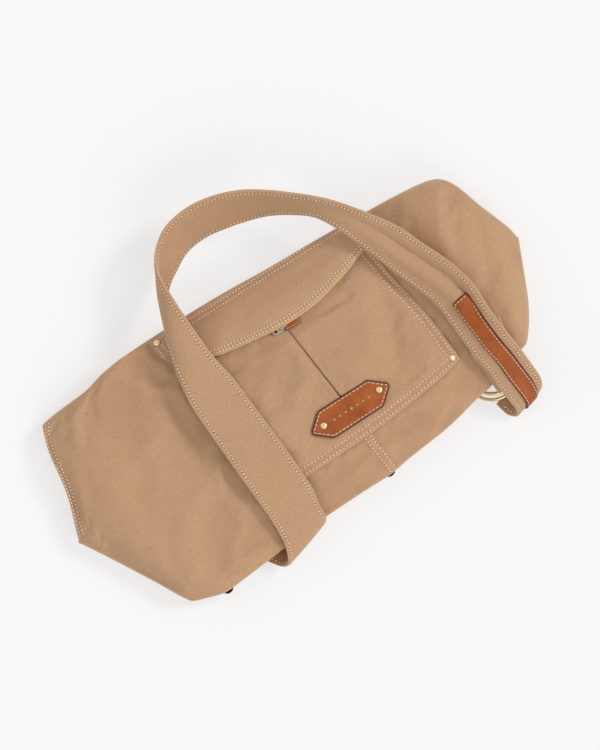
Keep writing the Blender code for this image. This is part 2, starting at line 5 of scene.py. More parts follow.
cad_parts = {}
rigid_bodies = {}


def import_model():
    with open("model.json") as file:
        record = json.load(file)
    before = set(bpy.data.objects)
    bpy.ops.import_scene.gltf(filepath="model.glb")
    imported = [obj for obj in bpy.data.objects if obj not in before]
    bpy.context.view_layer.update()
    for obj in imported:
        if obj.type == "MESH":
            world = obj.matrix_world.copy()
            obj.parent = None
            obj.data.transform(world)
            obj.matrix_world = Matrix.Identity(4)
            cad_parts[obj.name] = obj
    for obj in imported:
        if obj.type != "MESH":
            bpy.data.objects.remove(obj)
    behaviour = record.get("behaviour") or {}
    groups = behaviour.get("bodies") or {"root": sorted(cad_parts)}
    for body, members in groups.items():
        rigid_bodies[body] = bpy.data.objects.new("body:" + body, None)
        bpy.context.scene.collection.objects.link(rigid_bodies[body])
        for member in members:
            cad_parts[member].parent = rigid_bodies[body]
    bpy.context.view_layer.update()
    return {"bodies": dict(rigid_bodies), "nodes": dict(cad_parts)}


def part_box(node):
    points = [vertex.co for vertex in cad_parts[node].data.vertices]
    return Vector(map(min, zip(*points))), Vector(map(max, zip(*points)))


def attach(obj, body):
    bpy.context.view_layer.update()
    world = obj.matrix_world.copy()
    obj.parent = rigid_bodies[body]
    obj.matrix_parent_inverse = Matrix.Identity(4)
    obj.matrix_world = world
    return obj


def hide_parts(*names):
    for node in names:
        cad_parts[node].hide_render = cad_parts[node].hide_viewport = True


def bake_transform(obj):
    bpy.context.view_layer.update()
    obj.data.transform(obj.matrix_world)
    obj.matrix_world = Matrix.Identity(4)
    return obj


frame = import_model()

MM = 0.001
nodes = frame["nodes"]
RNG = np.random.RandomState(7)

# ============================================================ camera, light, floor
cam = bpy.data.cameras.new("cam")
cam.lens = 250.0
cam.sensor_width = 36.0
cam.clip_end = 50.0
camo = bpy.data.objects.new("cam", cam)
bpy.context.scene.collection.objects.link(camo)
PX = 0.82 * MM
dist = 750 * PX * cam.lens / cam.sensor_width
camo.location = (0.0073, -0.0194, dist + 0.04)
camo.rotation_euler = (0, 0, math.radians(-33.0))
bpy.context.scene.camera = camo

world = bpy.context.scene.world or bpy.data.worlds.new("world")
bpy.context.scene.world = world
world.use_nodes = True
bg = world.node_tree.nodes.get("Background") or world.node_tree.nodes.new("ShaderNodeBackground")
bg.inputs[0].default_value = (1.0, 1.0, 1.0, 1)
bg.inputs[1].default_value = 0.54
bpy.context.scene.view_settings.view_transform = "Standard"
bpy.context.scene.view_settings.look = "None"


def area_light(name, loc, target, size, power, colour=(1, 1, 1)):
    l = bpy.data.lights.new(name, "AREA")
    l.shape = "RECTANGLE"
    l.size = size[0]
    l.size_y = size[1]
    l.energy = power
    l.color = colour
    o = bpy.data.objects.new(name, l)
    bpy.context.scene.collection.objects.link(o)
    o.location = loc
    d = Vector(target) - Vector(loc)
    o.rotation_euler = d.to_track_quat("-Z", "Y").to_euler()
    return o


def pdir(az):
    """Direction in the bag's frame for an angle measured in the picture."""
    a = math.radians(az - 33.0)
    return Vector((math.cos(a), math.sin(a), 0))


def sun_light(name, az, elev, energy, soft):
    l = bpy.data.lights.new(name, "SUN")
    l.energy = energy
    l.angle = math.radians(soft)
    l.color = (1.0, 0.99, 0.97)
    o = bpy.data.objects.new(name, l)
    bpy.context.scene.collection.objects.link(o)
    e = math.radians(elev)
    d = pdir(az) * math.cos(e) + Vector((0, 0, math.sin(e)))
    o.rotation_euler = d.to_track_quat("Z", "Y").to_euler()
    return o


sun_light("key", 26, 44, 1.12, 16)
sun_light("front", -55, 42, 0.76, 32)
sun_light("fill", 158, 46, 0.36, 50)


# ============================================================ materials
def new_mat(name):
    m = bpy.data.materials.new(name)
    m.use_nodes = True
    nt = m.node_tree
    b = nt.nodes["Principled BSDF"]
    return m, nt, b


def N(nt, kind, **kw):
    n = nt.nodes.new(kind)
    for k, v in kw.items():
        setattr(n, k, v)
    return n


def setin(n, **kw):
    for k, v in kw.items():
        n.inputs[k.replace("_", " ")].default_value = v


def mixrgb(nt, blend, fac, a, b):
    n = N(nt, "ShaderNodeMix", data_type="RGBA", blend_type=blend)
    for sock, val in ((n.inputs[0], fac), (n.inputs[6], a), (n.inputs[7], b)):
        if hasattr(val, "is_output"):
            nt.links.new(val, sock)
        else:
            sock.default_value = val if not isinstance(val, tuple) else (*val, 1)[:4]
    return n.outputs[2]


def maths(nt, op, a, b=None, c=None):
    n = N(nt, "ShaderNodeMath", operation=op)
    for i, val in enumerate((a, b, c)):
        if val is None:
            continue
        if hasattr(val, "is_output"):
            nt.links.new(val, n.inputs[i])
        else:
            n.inputs[i].default_value = val
    return n.outputs[0]


def ramp(nt, fac, stops):
    n = N(nt, "ShaderNodeValToRGB")
    e = n.color_ramp.elements
    while len(e) < len(stops):
        e.new(0.5)
    for s, (p, c) in zip(e, stops):
        s.position = p
        s.color = (*c, 1) if len(c) == 3 else c
    nt.links.new(fac, n.inputs[0])
    return n.outputs[0]


def coords(nt, use_uv):
    t = N(nt, "ShaderNodeTexCoord")
    return t.outputs["UV"] if use_uv else t.outputs["Object"]


def mapping(nt, vec, scale=(1, 1, 1), rot=(0, 0, 0)):
    n = N(nt, "ShaderNodeMapping")
    nt.links.new(vec, n.inputs[0])
    n.inputs["Scale"].default_value = scale
    n.inputs["Rotation"].default_value = rot
    return n.outputs[0]


def canvas_mat(name, rgb, use_uv=True, pitch=0.75, contrast=1.0, bump=0.35):
    """Cotton twill: diagonal wale over a fine plain thread, slubs and soft colour drift."""
    m, nt, b = new_mat(name)
    L = nt.links
    uv = coords(nt, use_uv)
    obj = coords(nt, False)
    k = 1000.0 / pitch
    # diagonal wales
    w = N(nt, "ShaderNodeTexWave", wave_type="BANDS", bands_direction="DIAGONAL", wave_profile="SIN")
    L.new(mapping(nt, uv, (k * 0.16, k * 0.16, k * 0.16)), w.inputs["Vector"])
    setin(w, Scale=2.2, Distortion=1.6, Detail=2.0, Detail_Scale=2.0)
    # warp threads
    w2 = N(nt, "ShaderNodeTexWave", wave_type="BANDS", bands_direction="X", wave_profile="SIN")
    L.new(mapping(nt, uv, (k * 0.16, k * 0.16, k * 0.16)), w2.inputs["Vector"])
    setin(w2, Scale=2.8, Distortion=1.2, Detail=1.0, Detail_Scale=3.0)
    slub = N(nt, "ShaderNodeTexNoise")
    L.new(mapping(nt, uv, (900, 260, 500)), slub.inputs["Vector"])
    setin(slub, Scale=1.0, Detail=4.0, Roughness=0.65)
    fine = N(nt, "ShaderNodeTexNoise")
    L.new(mapping(nt, obj, (1, 1, 1)), fine.inputs["Vector"])
    setin(fine, Scale=1150.0, Detail=3.0, Roughness=0.7)
    drift = N(nt, "ShaderNodeTexNoise")
    L.new(obj, drift.inputs["Vector"])
    setin(drift, Scale=14.0, Detail=3.0, Roughness=0.55)
    blotch = N(nt, "ShaderNodeTexNoise")
    L.new(obj, blotch.inputs["Vector"])
    setin(blotch, Scale=70.0, Detail=4.0, Roughness=0.6)
    height = maths(nt, "ADD", maths(nt, "MULTIPLY", w.outputs["Fac"], 0.55),
                   maths(nt, "ADD", maths(nt, "MULTIPLY", w2.outputs["Fac"], 0.3),
                         maths(nt, "MULTIPLY", fine.outputs["Fac"], 0.9)))
    c = contrast
    dark = tuple(v * (1 - 0.16 * c) for v in rgb)
    lite = tuple(min(1, v * (1 + 0.12 * c)) for v in rgb)
    col = ramp(nt, maths(nt, "MULTIPLY", height, 0.62), [(0.22, dark), (0.78, lite)])
    warm = tuple(v * f for v, f in zip(rgb, (1.03, 0.97, 0.90)))
    col = mixrgb(nt, "MIX", maths(nt, "MULTIPLY", ramp(nt, drift.outputs["Fac"], [(0.38, (0, 0, 0)), (0.62, (1, 1, 1))]), 0.28), col, warm)
    col = mixrgb(nt, "MULTIPLY", 0.22 * c, col, ramp(nt, blotch.outputs["Fac"], [(0.3, (0.86, 0.84, 0.82)), (0.7, (1.0, 1.0, 1.0))]))
    col = mixrgb(nt, "MULTIPLY", 0.30 * c, col, ramp(nt, slub.outputs["Fac"], [(0.35, (0.80, 0.78, 0.76)), (0.6, (1.0, 1.0, 1.0))]))
    grain = N(nt, "ShaderNodeTexNoise")
    L.new(obj, grain.inputs["Vector"])
    setin(grain, Scale=430.0, Detail=3.0, Roughness=0.6)
    col = mixrgb(nt, "MULTIPLY", 0.55 * c, col, ramp(nt, grain.outputs["Fac"], [(0.32, (0.84, 0.83, 0.80)), (0.66, (1.0, 1.0, 1.0))]))
    # worn, paler edges carried by the mesh
    at = N(nt, "ShaderNodeAttribute", attribute_name="wear")
    col = mixrgb(nt, "MIX", maths(nt, "MULTIPLY", at.outputs["Fac"], 0.55), col, tuple(min(1, v * 1.28) for v in rgb))
    # painted shade: the mesh's 'shade' attribute mixes the colour towards a darker brown, standing in for shade in
    # folds, creases, seams and under edges
    sh = N(nt, "ShaderNodeAttribute", attribute_name="shade")
    col = mixrgb(nt, "MIX", sh.outputs["Fac"], col, tuple(v * f for v, f in zip(rgb, (0.62, 0.55, 0.48))))
    L.new(col, b.inputs["Base Color"])
    setin(b, Roughness=0.92)
    b.inputs["Specular IOR Level"].default_value = 0.18
    b.inputs["Sheen Weight"].default_value = 0.22
    b.inputs["Sheen Roughness"].default_value = 0.45
    b.inputs["Sheen Tint"].default_value = (1.0, 0.93, 0.85, 1)
    bp = N(nt, "ShaderNodeBump")
    setin(bp, Strength=bump, Distance=0.00028)
    L.new(height, bp.inputs["Height"])
    bp2 = N(nt, "ShaderNodeBump")
    setin(bp2, Strength=0.22, Distance=0.0016)
    L.new(blotch.outputs["Fac"], bp2.inputs["Height"])
    L.new(bp.outputs[0], bp2.inputs["Normal"])
    L.new(bp2.outputs[0], b.inputs["Normal"])
    return m


def leather_mat(name, rgb=(0.385, 0.098, 0.022)):
    m, nt, b = new_mat(name)
    L = nt.links
    obj = coords(nt, False)
    vor = N(nt, "ShaderNodeTexVoronoi", feature="DISTANCE_TO_EDGE")
    L.new(obj, vor.inputs["Vector"])
    setin(vor, Scale=1500.0, Randomness=1.0)
    fine = N(nt, "ShaderNodeTexNoise")
    L.new(obj, fine.inputs["Vector"])
    setin(fine, Scale=900.0, Detail=4.0, Roughness=0.6)
    mott = N(nt, "ShaderNodeTexNoise")
    L.new(obj, mott.inputs["Vector"])
    setin(mott, Scale=60.0, Detail=5.0, Roughness=0.62)
    col = ramp(nt, mott.outputs["Fac"], [(0.30, tuple(v * 0.78 for v in rgb)), (0.52, rgb),
                                         (0.72, tuple(min(1, v * f) for v, f in zip(rgb, (1.22, 1.35, 1.5))))])
    col = mixrgb(nt, "MULTIPLY", 0.22, col, ramp(nt, fine.outputs["Fac"], [(0.35, (0.72, 0.68, 0.66)), (0.6, (1, 1, 1))]))
    at = N(nt, "ShaderNodeAttribute", attribute_name="edge")
    edge = maths(nt, "MULTIPLY", at.outputs["Fac"], 0.92)
    col = mixrgb(nt, "MIX", edge, col, (0.055, 0.018, 0.010))
    L.new(col, b.inputs["Base Color"])
    r = maths(nt, "ADD", maths(nt, "MULTIPLY", mott.outputs["Fac"], 0.2), 0.40)
    L.new(r, b.inputs["Roughness"])
    b.inputs["Specular IOR Level"].default_value = 0.20
    b.inputs["Coat Weight"].default_value = 0.02
    b.inputs["Coat Roughness"].default_value = 0.3
    h = maths(nt, "ADD", maths(nt, "MULTIPLY", ramp(nt, vor.outputs["Distance"], [(0.0, (0, 0, 0)), (0.25, (1, 1, 1))]), 0.7),
              maths(nt, "MULTIPLY", fine.outputs["Fac"], 0.5))
    bp = N(nt, "ShaderNodeBump")
    setin(bp, Strength=0.22, Distance=0.00015)
    L.new(h, bp.inputs["Height"])
    L.new(bp.outputs[0], b.inputs["Normal"])
    return m


def metal_mat(name, rgb, rough=0.18):
    m, nt, b = new_mat(name)
    L = nt.links
    obj = coords(nt, False)
    n1 = N(nt, "ShaderNodeTexNoise")
    L.new(mapping(nt, obj, (1, 1, 1)), n1.inputs["Vector"])
    setin(n1, Scale=420.0, Detail=5.0, Roughness=0.65)
    n2 = N(nt, "ShaderNodeTexNoise")
    L.new(obj, n2.inputs["Vector"])
    setin(n2, Scale=45.0, Detail=3.0, Roughness=0.5)
    col = ramp(nt, n2.outputs["Fac"], [(0.3, tuple(v * 0.86 for v in rgb)), (0.7, rgb)])
    L.new(col, b.inputs["Base Color"])
    L.new(maths(nt, "ADD", maths(nt, "MULTIPLY", n1.outputs["Fac"], 0.16), rough - 0.08), b.inputs["Roughness"])
    setin(b, Metallic=1.0)
    bp = N(nt, "ShaderNodeBump")
    setin(bp, Strength=0.06, Distance=0.0001)
    L.new(n1.outputs["Fac"], bp.inputs["Height"])
    L.new(bp.outputs[0], b.inputs["Normal"])
    return m


def thread_mat(name, rgb):
    m, nt, b = new_mat(name)
    L = nt.links
    obj = coords(nt, False)
    n1 = N(nt, "ShaderNodeTexNoise")
    L.new(obj, n1.inputs["Vector"])
    setin(n1, Scale=2600.0, Detail=2.0, Roughness=0.6)
    n2 = N(nt, "ShaderNodeTexNoise")
    L.new(obj, n2.inputs["Vector"])
    setin(n2, Scale=160.0, Detail=2.0, Roughness=0.6)
    col = ramp(nt, n1.outputs["Fac"], [(0.35, tuple(v * 0.78 for v in rgb)), (0.62, rgb)])
    col = mixrgb(nt, "MULTIPLY", 0.35, col, ramp(nt, n2.outputs["Fac"], [(0.3, (0.78, 0.74, 0.68)), (0.7, (1, 1, 1))]))
    L.new(col, b.inputs["Base Color"])
    setin(b, Roughness=0.65)
    b.inputs["Specular IOR Level"].default_value = 0.3
    b.inputs["Sheen Weight"].default_value = 0.25
    bp = N(nt, "ShaderNodeBump")
    setin(bp, Strength=0.4, Distance=0.0001)
    L.new(n1.outputs["Fac"], bp.inputs["Height"])
    L.new(bp.outputs[0], b.inputs["Normal"])
    return m


KHAKI = (0.55, 0.338, 0.200)
M_CANVAS = canvas_mat("khaki_twill", KHAKI)
# a 10% darker copy of the khaki, mapped by object coordinates: painted shade for the pleat underlay inside the pleat,
# also used on the corner backtacks
M_CANVAS_OBJ = canvas_mat("khaki_twill_hidden", tuple(v * 0.9 for v in KHAKI), use_uv=False)
M_BACK = canvas_mat("khaki_twill_back", tuple(v * 0.97 for v in KHAKI))
M_STRAP = canvas_mat("khaki_twill_strap", tuple(v * 1.0 for v in KHAKI))
M_GOLD = canvas_mat("gold_cotton", (0.74, 0.51, 0.23), pitch=0.45, bump=0.2)
M_LINING = canvas_mat("lining_cotton", (0.66, 0.45, 0.16), pitch=0.4, bump=0.2)
M_TAPE = canvas_mat("zip_tape_weave", (0.40, 0.28, 0.17), use_uv=False, pitch=0.4, bump=0.3)
M_LEATHER = leather_mat("tan_leather")
M_BRASS = metal_mat("pale_brass", (1.0, 0.80, 0.54), 0.40)
M_BRASS_M = metal_mat("brushed_brass", (0.95, 0.74, 0.52), 0.58)
M_RING = metal_mat("ring_brass", (0.86, 0.66, 0.36), 0.2)
M_NICKEL = metal_mat("nickel", (0.70, 0.56, 0.48), 0.34)
M_THREAD = thread_mat("cream_thread", (0.95, 0.745, 0.565))
# dark brown for the needle-hole discs: painted shade
M_NEEDLE_SHADE = canvas_mat("needle_hole_shade", (0.17, 0.092, 0.05), use_uv=False, pitch=0.3, bump=0.1)
M_THREAD_L = thread_mat("white_thread", (0.88, 0.66, 0.54))
M_GUN = metal_mat("gunmetal", (0.03, 0.03, 0.035), 0.35)
M_FOIL = metal_mat("gold_foil", (0.85, 0.58, 0.28), 0.3)


# ============================================================ shape functions (mm)
HALF_X = 218.3
SEAM_Z, FRONT_Z, END_BULGE, MOUTH_HALF = 20.0, 36.0, 11.0, 7.0
TOP_EDGE = [(-218.5, -35.5), (-213.5, -21.0), (-207.0, -2.0), (-203.2, 15.0), (-200.5, 35.0), (-196.5, 50.0),
            (-191.5, 61.6), (-170.0, 64.2), (-150.0, 65.4), (-128.0, 70.2), (-108.0, 72.3), (-80.0, 72.7),
            (-44.0, 72.6), (-8.0, 71.4), (35.0, 68.5), (78.0, 66.8), (125.0, 63.7), (150.0, 61.9), (176.0, 58.8),
            (187.0, 55.8), (194.0, 50.5), (199.6, 41.0), (206.5, 18.5), (213.0, 0.0), (217.4, -14.0), (218.5, -22.0)]
BOTTOM_EDGE = [(-218.5, -37.0), (-208.8, -53.5), (-183.7, -99.5), (-173.5, -119.5), (-168.5, -127.0), (-157.5, -131.3),
               (-139.6, -136.2), (-118.0, -134.9), (-101.0, -133.6), (-36.0, -128.9), (0.0, -128.5), (22.0, -128.8),
               (45.0, -126.0), (82.0, -122.5), (95.0, -120.5), (120.0, -115.0), (131.0, -113.4), (150.0, -108.5), (168.0, -102.0),
               (177.0, -99.3), (186.0, -89.5), (196.5, -73.0), (204.0, -57.0), (213.0, -36.5), (218.5, -24.0)]


def table(pts):
    xs = np.array([p[0] for p in pts], float)
    ys = np.array([p[1] for p in pts], float)
    h = np.diff(xs)
    d = np.diff(ys) / h
    m = np.zeros(len(xs))
    m[0], m[-1] = d[0], d[-1]
    for i in range(1, len(xs) - 1):
        m[i] = 0 if d[i - 1] * d[i] <= 0 else 2 * d[i - 1] * d[i] / (d[i - 1] + d[i])

    def f(x):
        x = np.clip(np.asarray(x, float), xs[0], xs[-1])
        i = np.clip(np.searchsorted(xs, x) - 1, 0, len(xs) - 2)
        t = (x - xs[i]) / h[i]
        return ((2 * t ** 3 - 3 * t ** 2 + 1) * ys[i] + (t ** 3 - 2 * t ** 2 + t) * h[i] * m[i]
                + (-2 * t ** 3 + 3 * t ** 2) * ys[i + 1] + (t ** 3 - t ** 2) * h[i] * m[i + 1])
    return f


y_top = table(TOP_EDGE)
y_bot = table(BOTTOM_EDGE)


def sm(a, b, x):
    t = np.clip((np.asarray(x, float) - a) / (b - a), 0, 1)
    return t * t * (3 - 2 * t)


def gauss(x, y, cx, cy, sx, sy, ang=0.0):
    a = math.radians(ang)
    u = (x - cx) * math.cos(a) + (y - cy) * math.sin(a)
    v = -(x - cx) * math.sin(a) + (y - cy) * math.cos(a)
    return np.exp(-(u / sx) ** 2 - (v / sy) ** 2)


def across(x, y):
    yb, yt = y_bot(x), y_top(x)
    return np.clip((y - yb) / (yt - yb), 0, 1)


def end_shape(x):
    x = np.asarray(x, float)
    p = np.where(x < 0, 7.0, 12.0)
    return np.sqrt(np.maximum(0, 1 - (np.abs(x) / (HALF_X + 0.1)) ** p))


def seam_z(x):
    x = np.asarray(x, float)
    return SEAM_Z - np.where(x < 0, 11.0 * sm(140, 216, -x), 3.0 * sm(150, 216, x))


def mouth(x, s):
    m = sm(-160, -120, x) * (1 - sm(135, 175, x))
    return 0.9 + (MOUTH_HALF - 0.9) * m * sm(0.75, 1.0, s)


def pillow(s):
    c = np.abs(2 * s - 1)
    p = np.where(s > 0.5, 4.0, 3.0)
    return np.sqrt(np.maximum(0, 1 - c ** p))


def pnoise(x, y, scale, seed=0.0):
    f = np.frompyfunc(lambda a, b: noise.noise(Vector((a / scale, b / scale, seed))), 2, 1)
    return f(x, y).astype(float)


def folds(x, y):
    """Soft wrinkles and sags of the front, in mm."""
    w = np.zeros_like(np.asarray(x, float))
    # tension folds and dents: cx, cy, length, width, angle, height
    for cx, cy, lx, ly, ang, h in FOLDS:
        w = w + h * gauss(x, y, cx, cy, lx, ly, ang)
    return w


FOLDS = [
    (-177, 48, 22, 6, 60, -2.2), (-168, 50, 20, 6, 58, 1.6), (-154, 58.2, 9, 1.9, 44, 2.6), (-167, 53.6, 11, 2.6, 18, 1.5), (-163, 60.5, 12, 3.2, 14, -2.4),
    (-150, 50, 10, 4, 55, -1.4), (-150, 40, 34, 9, 55, 1.0), (-172, 8, 44, 10, 80, 1.2), (-190, -10, 34, 8, 75, -1.2),
    (-150, -20, 50, 12, 62, -1.8), (-120, 20, 50, 12, 72, 1.5), (-112, 48, 26, 9, 60, -1.8), (-98, -30, 60, 9, 86, -1.8),
    (-130, -66, 44, 11, 32, 1.8), (-165, -90, 34, 8, 60, -1.5), (-150, -104, 34, 7, 28, 1.2), (-118, -114, 36, 7, 4, -1.5),
    (-100, -76, 40, 8, 82, 1.4), (-182, -62, 34, 8, 48, 1.2), (-135, -2, 30, 8, 20, 1.0),
    (5, -104, 32, 6, 8, -2.2), (-12, -114, 22, 6, -8, 1.4), (64, -103, 36, 7, 3, -2.8), (92, -95, 22, 6, -32, 2.0),
    (106, -104, 24, 6, 38, -2.2), (48, -113, 26, 6, 14, 1.4), (84, -112, 22, 5, 12, 1.2),
    (168, 8, 44, 9, 66, 2.4), (186, 28, 34, 8, 58, -1.8), (200, -6, 30, 9, 70, 1.4), (190, -12, 26, 8, 72, -2.2),
    (180, -36, 30, 8, 35, -2.2), (196, -46, 26, 7, 60, 1.6), (150, 48, 28, 7, -28, -1.8), (184, -70, 26, 7, 52, 1.8),
    (176, -84, 20, 6, 40, -1.6), (160, 40, 26, 7, -40, 1.4),
]


def front_z(x, y):
    s = across(x, y)
    z0 = seam_z(x) + mouth(x, s)
    crown = FRONT_Z + END_BULGE * np.exp(-((x - 176) / 34.0) ** 2)
    z = z0 + (crown - z0) * end_shape(x) * pillow(s)
    return z


def front_vis(x, y):
    s = across(x, y)
    k = end_shape(x) * np.clip(4 * s * (1 - s), 0, 1) ** 0.6
    under = sm(-88, -70, x) * (1 - sm(112, 130, x)) * sm(-92, -80, y)   # quiet under the pocket
    w = 1.25 * folds(x, y) + 1.2 * pnoise(x, y, 38, 1.3) + 0.45 * pnoise(x, y, 15, 5.1)
    return front_z(x, y) + w * k * (1 - 0.92 * under)


def back_z(x, y):
    s = across(x, y)
    z0 = seam_z(x) - mouth(x, s)
    t = 1 - np.abs(2 * s - 1)
    flat = np.where(t > 0.30, 1.0, np.sin(0.5 * math.pi * np.clip(t / 0.30, 0, 1)))
    edge = np.minimum(1.0, end_shape(x) * 1.35)
    z = z0 * (1 - flat * edge)
    dent = 15.0 * np.exp(-(np.abs(x - 142.5) / 34.0) ** 4 - (np.abs(y + 96.0) / 38.0) ** 4)
    return np.maximum(z, np.minimum(dent, z0))


# ============================================================ mesh helpers
def link(ob):
    bpy.context.scene.collection.objects.link(ob)
    return ob


def make_obj(name, verts, faces, mat, uvs=None, attrs=None, smooth_angle=50):
    me = bpy.data.meshes.new(name)
    me.from_pydata([tuple(v) for v in verts], [], faces)
    if uvs is not None:
        lay = me.uv_layers.new(name="UVMap")
        vi = np.empty(len(me.loops), dtype=np.int64)
        me.loops.foreach_get("vertex_index", vi)
        lay.data.foreach_set("uv", np.asarray(uvs, np.float32)[vi].reshape(-1))
    for k, v in (attrs or {}).items():
        a = me.attributes.new(k, "FLOAT", "POINT")
        a.data.foreach_set("value", np.asarray(v, np.float32))
    me.shade_smooth()
    me.set_sharp_from_angle(angle=math.radians(smooth_angle))
    me.materials.append(mat)
    return link(bpy.data.objects.new(name, me))


def grid_normals(P):
    du = np.gradient(P, axis=0)
    dv = np.gradient(P, axis=1)
    n = np.cross(du, dv)
    n /= np.linalg.norm(n, axis=2, keepdims=True) + 1e-12
    return n


def arclen_uv(P):
    nu, nv = P.shape[:2]
    u = np.zeros((nu, nv))
    v = np.zeros((nu, nv))
    u[1:] = np.cumsum(np.linalg.norm(np.diff(P, axis=0), axis=2), axis=0)
    v[:, 1:] = np.cumsum(np.linalg.norm(np.diff(P, axis=1), axis=2), axis=1)
    u -= u[nu // 2:nu // 2 + 1]
    v -= v[:, nv // 2:nv // 2 + 1]
    return np.stack([u, v], 2)


def shell(name, P, thick, mat, side=1.0, attrs=None, uv=None, round_edge=True, smooth_angle=50):
    """Closed cloth shell: P (nu,nv,3) mm is its outer face (normal = du x dv times side)."""
    nu, nv = P.shape[:2]
    n = grid_normals(P)
    if uv is None:
        uv = arclen_uv(P)
    Q = P - n * thick * side
    # rim ring pushed outwards half a thickness for a rounded edge
    idx = [(i, 0) for i in range(nu)] + [(nu - 1, j) for j in range(1, nv)] + \
          [(i, nv - 1) for i in range(nu - 2, -1, -1)] + [(0, j) for j in range(nv - 2, 0, -1)]
    ring = np.array(idx)
    A = P[ring[:, 0], ring[:, 1]]
    B = Q[ring[:, 0], ring[:, 1]]
    mid = (A + B) / 2
    # outward direction in the sheet
    nn = n[ring[:, 0], ring[:, 1]] * side
    tang = np.roll(A, -1, axis=0) - np.roll(A, 1, axis=0)
    out = np.cross(tang, nn)
    out /= np.linalg.norm(out, axis=1, keepdims=True) + 1e-12
    cen = P.mean(axis=(0, 1))
    if np.sum(out * (A - cen)) < 0:
        out = -out
    rings = []
    if round_edge:
        r = thick / 2
        for a in (0.5, 0.0, -0.5):
            ang = a * math.pi * 0.66
            rings.append(mid + nn * r * math.sin(ang) * 1.0 + out * r * math.cos(ang) * 0.9)
    V = [P.reshape(-1, 3), Q.reshape(-1, 3)] + rings
    verts = np.concatenate(V) * MM
    faces = []
    N0 = nu * nv
    flip = side < 0
    ii, jj = np.meshgrid(np.arange(nu - 1), np.arange(nv - 1), indexing="ij")
    a = (ii * nv + jj).reshape(-1)
    b = a + nv
    c = b + 1
    d = a + 1
    top = np.stack([a, b, c, d], 1)
    bot = np.stack([d, c, b, a], 1) + N0
    if flip:
        top, bot = top[:, ::-1], bot[:, ::-1]
    faces += top.tolist() + bot.tolist()
    rid = (ring[:, 0] * nv + ring[:, 1])
    loops = [rid] + [2 * N0 + k * len(rid) + np.arange(len(rid)) for k in range(len(rings))] + [rid + N0]
    m = len(rid)
    k0 = np.arange(m)
    k1 = (k0 + 1) % m
    for l0, l1 in zip(loops[:-1], loops[1:]):
        q = np.stack([l0[k0], l1[k0], l1[k1], l0[k1]], 1)
        faces += (q[:, ::-1] if flip else q).tolist()
    uvs = np.concatenate([uv.reshape(-1, 2)] * 2 + [uv[ring[:, 0], ring[:, 1]]] * len(rings)) * MM
    at = {}
    for k, v in (attrs or {}).items():
        v = np.asarray(v)
        at[k] = np.concatenate([v.reshape(-1)] * 2 + [v[ring[:, 0], ring[:, 1]]] * len(rings))
    ob = make_obj(name, verts, faces, mat, uvs, at, smooth_angle)
    # make sure the faces look outwards
    me = ob.data
    bm = bmesh.new()
    bm.from_mesh(me)
    if bm.calc_volume(signed=True) < 0:
        bmesh.ops.reverse_faces(bm, faces=bm.faces)
        bm.to_mesh(me)
    bm.free()
    return ob


def sample_grid(P, fu, fv):
    """Bilinear point on grid P at fractional indices, arrays allowed."""
    nu, nv = P.shape[:2]
    fu = np.clip(fu, 0, nu - 1.001)
    fv = np.clip(fv, 0, nv - 1.001)
    i = fu.astype(int)
    j = fv.astype(int)
    a = (fu - i)[:, None]
    b = (fv - j)[:, None]
    return (P[i, j] * (1 - a) * (1 - b) + P[i + 1, j] * a * (1 - b) + P[i, j + 1] * (1 - a) * b + P[i + 1, j + 1] * a * b)


_stitch_cache = {}


def stitch_template():
    """A short plump thread: rounded ends, sinking into the cloth at both."""
    if "t" in _stitch_cache:
        return _stitch_cache["t"]
    prof = [(-0.5, 0.0), (-0.47, 0.55), (-0.36, 0.86), (-0.15, 1.0), (0.15, 1.0), (0.36, 0.86), (0.47, 0.55), (0.5, 0.0)]
    seg = 6
    verts, faces = [(-0.5, 0, 0)], []
    for t, r in prof[1:-1]:
        for k in range(seg):
            a = 2 * math.pi * k / seg
            verts.append((t, r * math.cos(a), r * math.sin(a)))
    verts.append((0.5, 0, 0))
    last = len(verts) - 1
    for k in range(seg):
        faces.append((0, 1 + (k + 1) % seg, 1 + k))
    for r in range(len(prof) - 3):
        for k in range(seg):
            a = 1 + r * seg + k
            b = 1 + r * seg + (k + 1) % seg
            faces.append((a, b, b + seg, a + seg))
    base = 1 + (len(prof) - 3) * seg
    for k in range(seg):
        faces.append((base + k, base + (k + 1) % seg, last))
    _stitch_cache["t"] = (np.array(verts, float), faces)
    return _stitch_cache["t"]


def resample(path, step):
    """Points each step apart along a polyline, with arclength."""
    d = np.linalg.norm(np.diff(path, axis=0), axis=1)
    s = np.concatenate([[0], np.cumsum(d)])
    n = max(1, int(s[-1] / step))
    t = (np.arange(n) + 0.5) * s[-1] / n
    return np.stack([np.interp(t, s, path[:, k]) for k in range(3)], 1), t, s


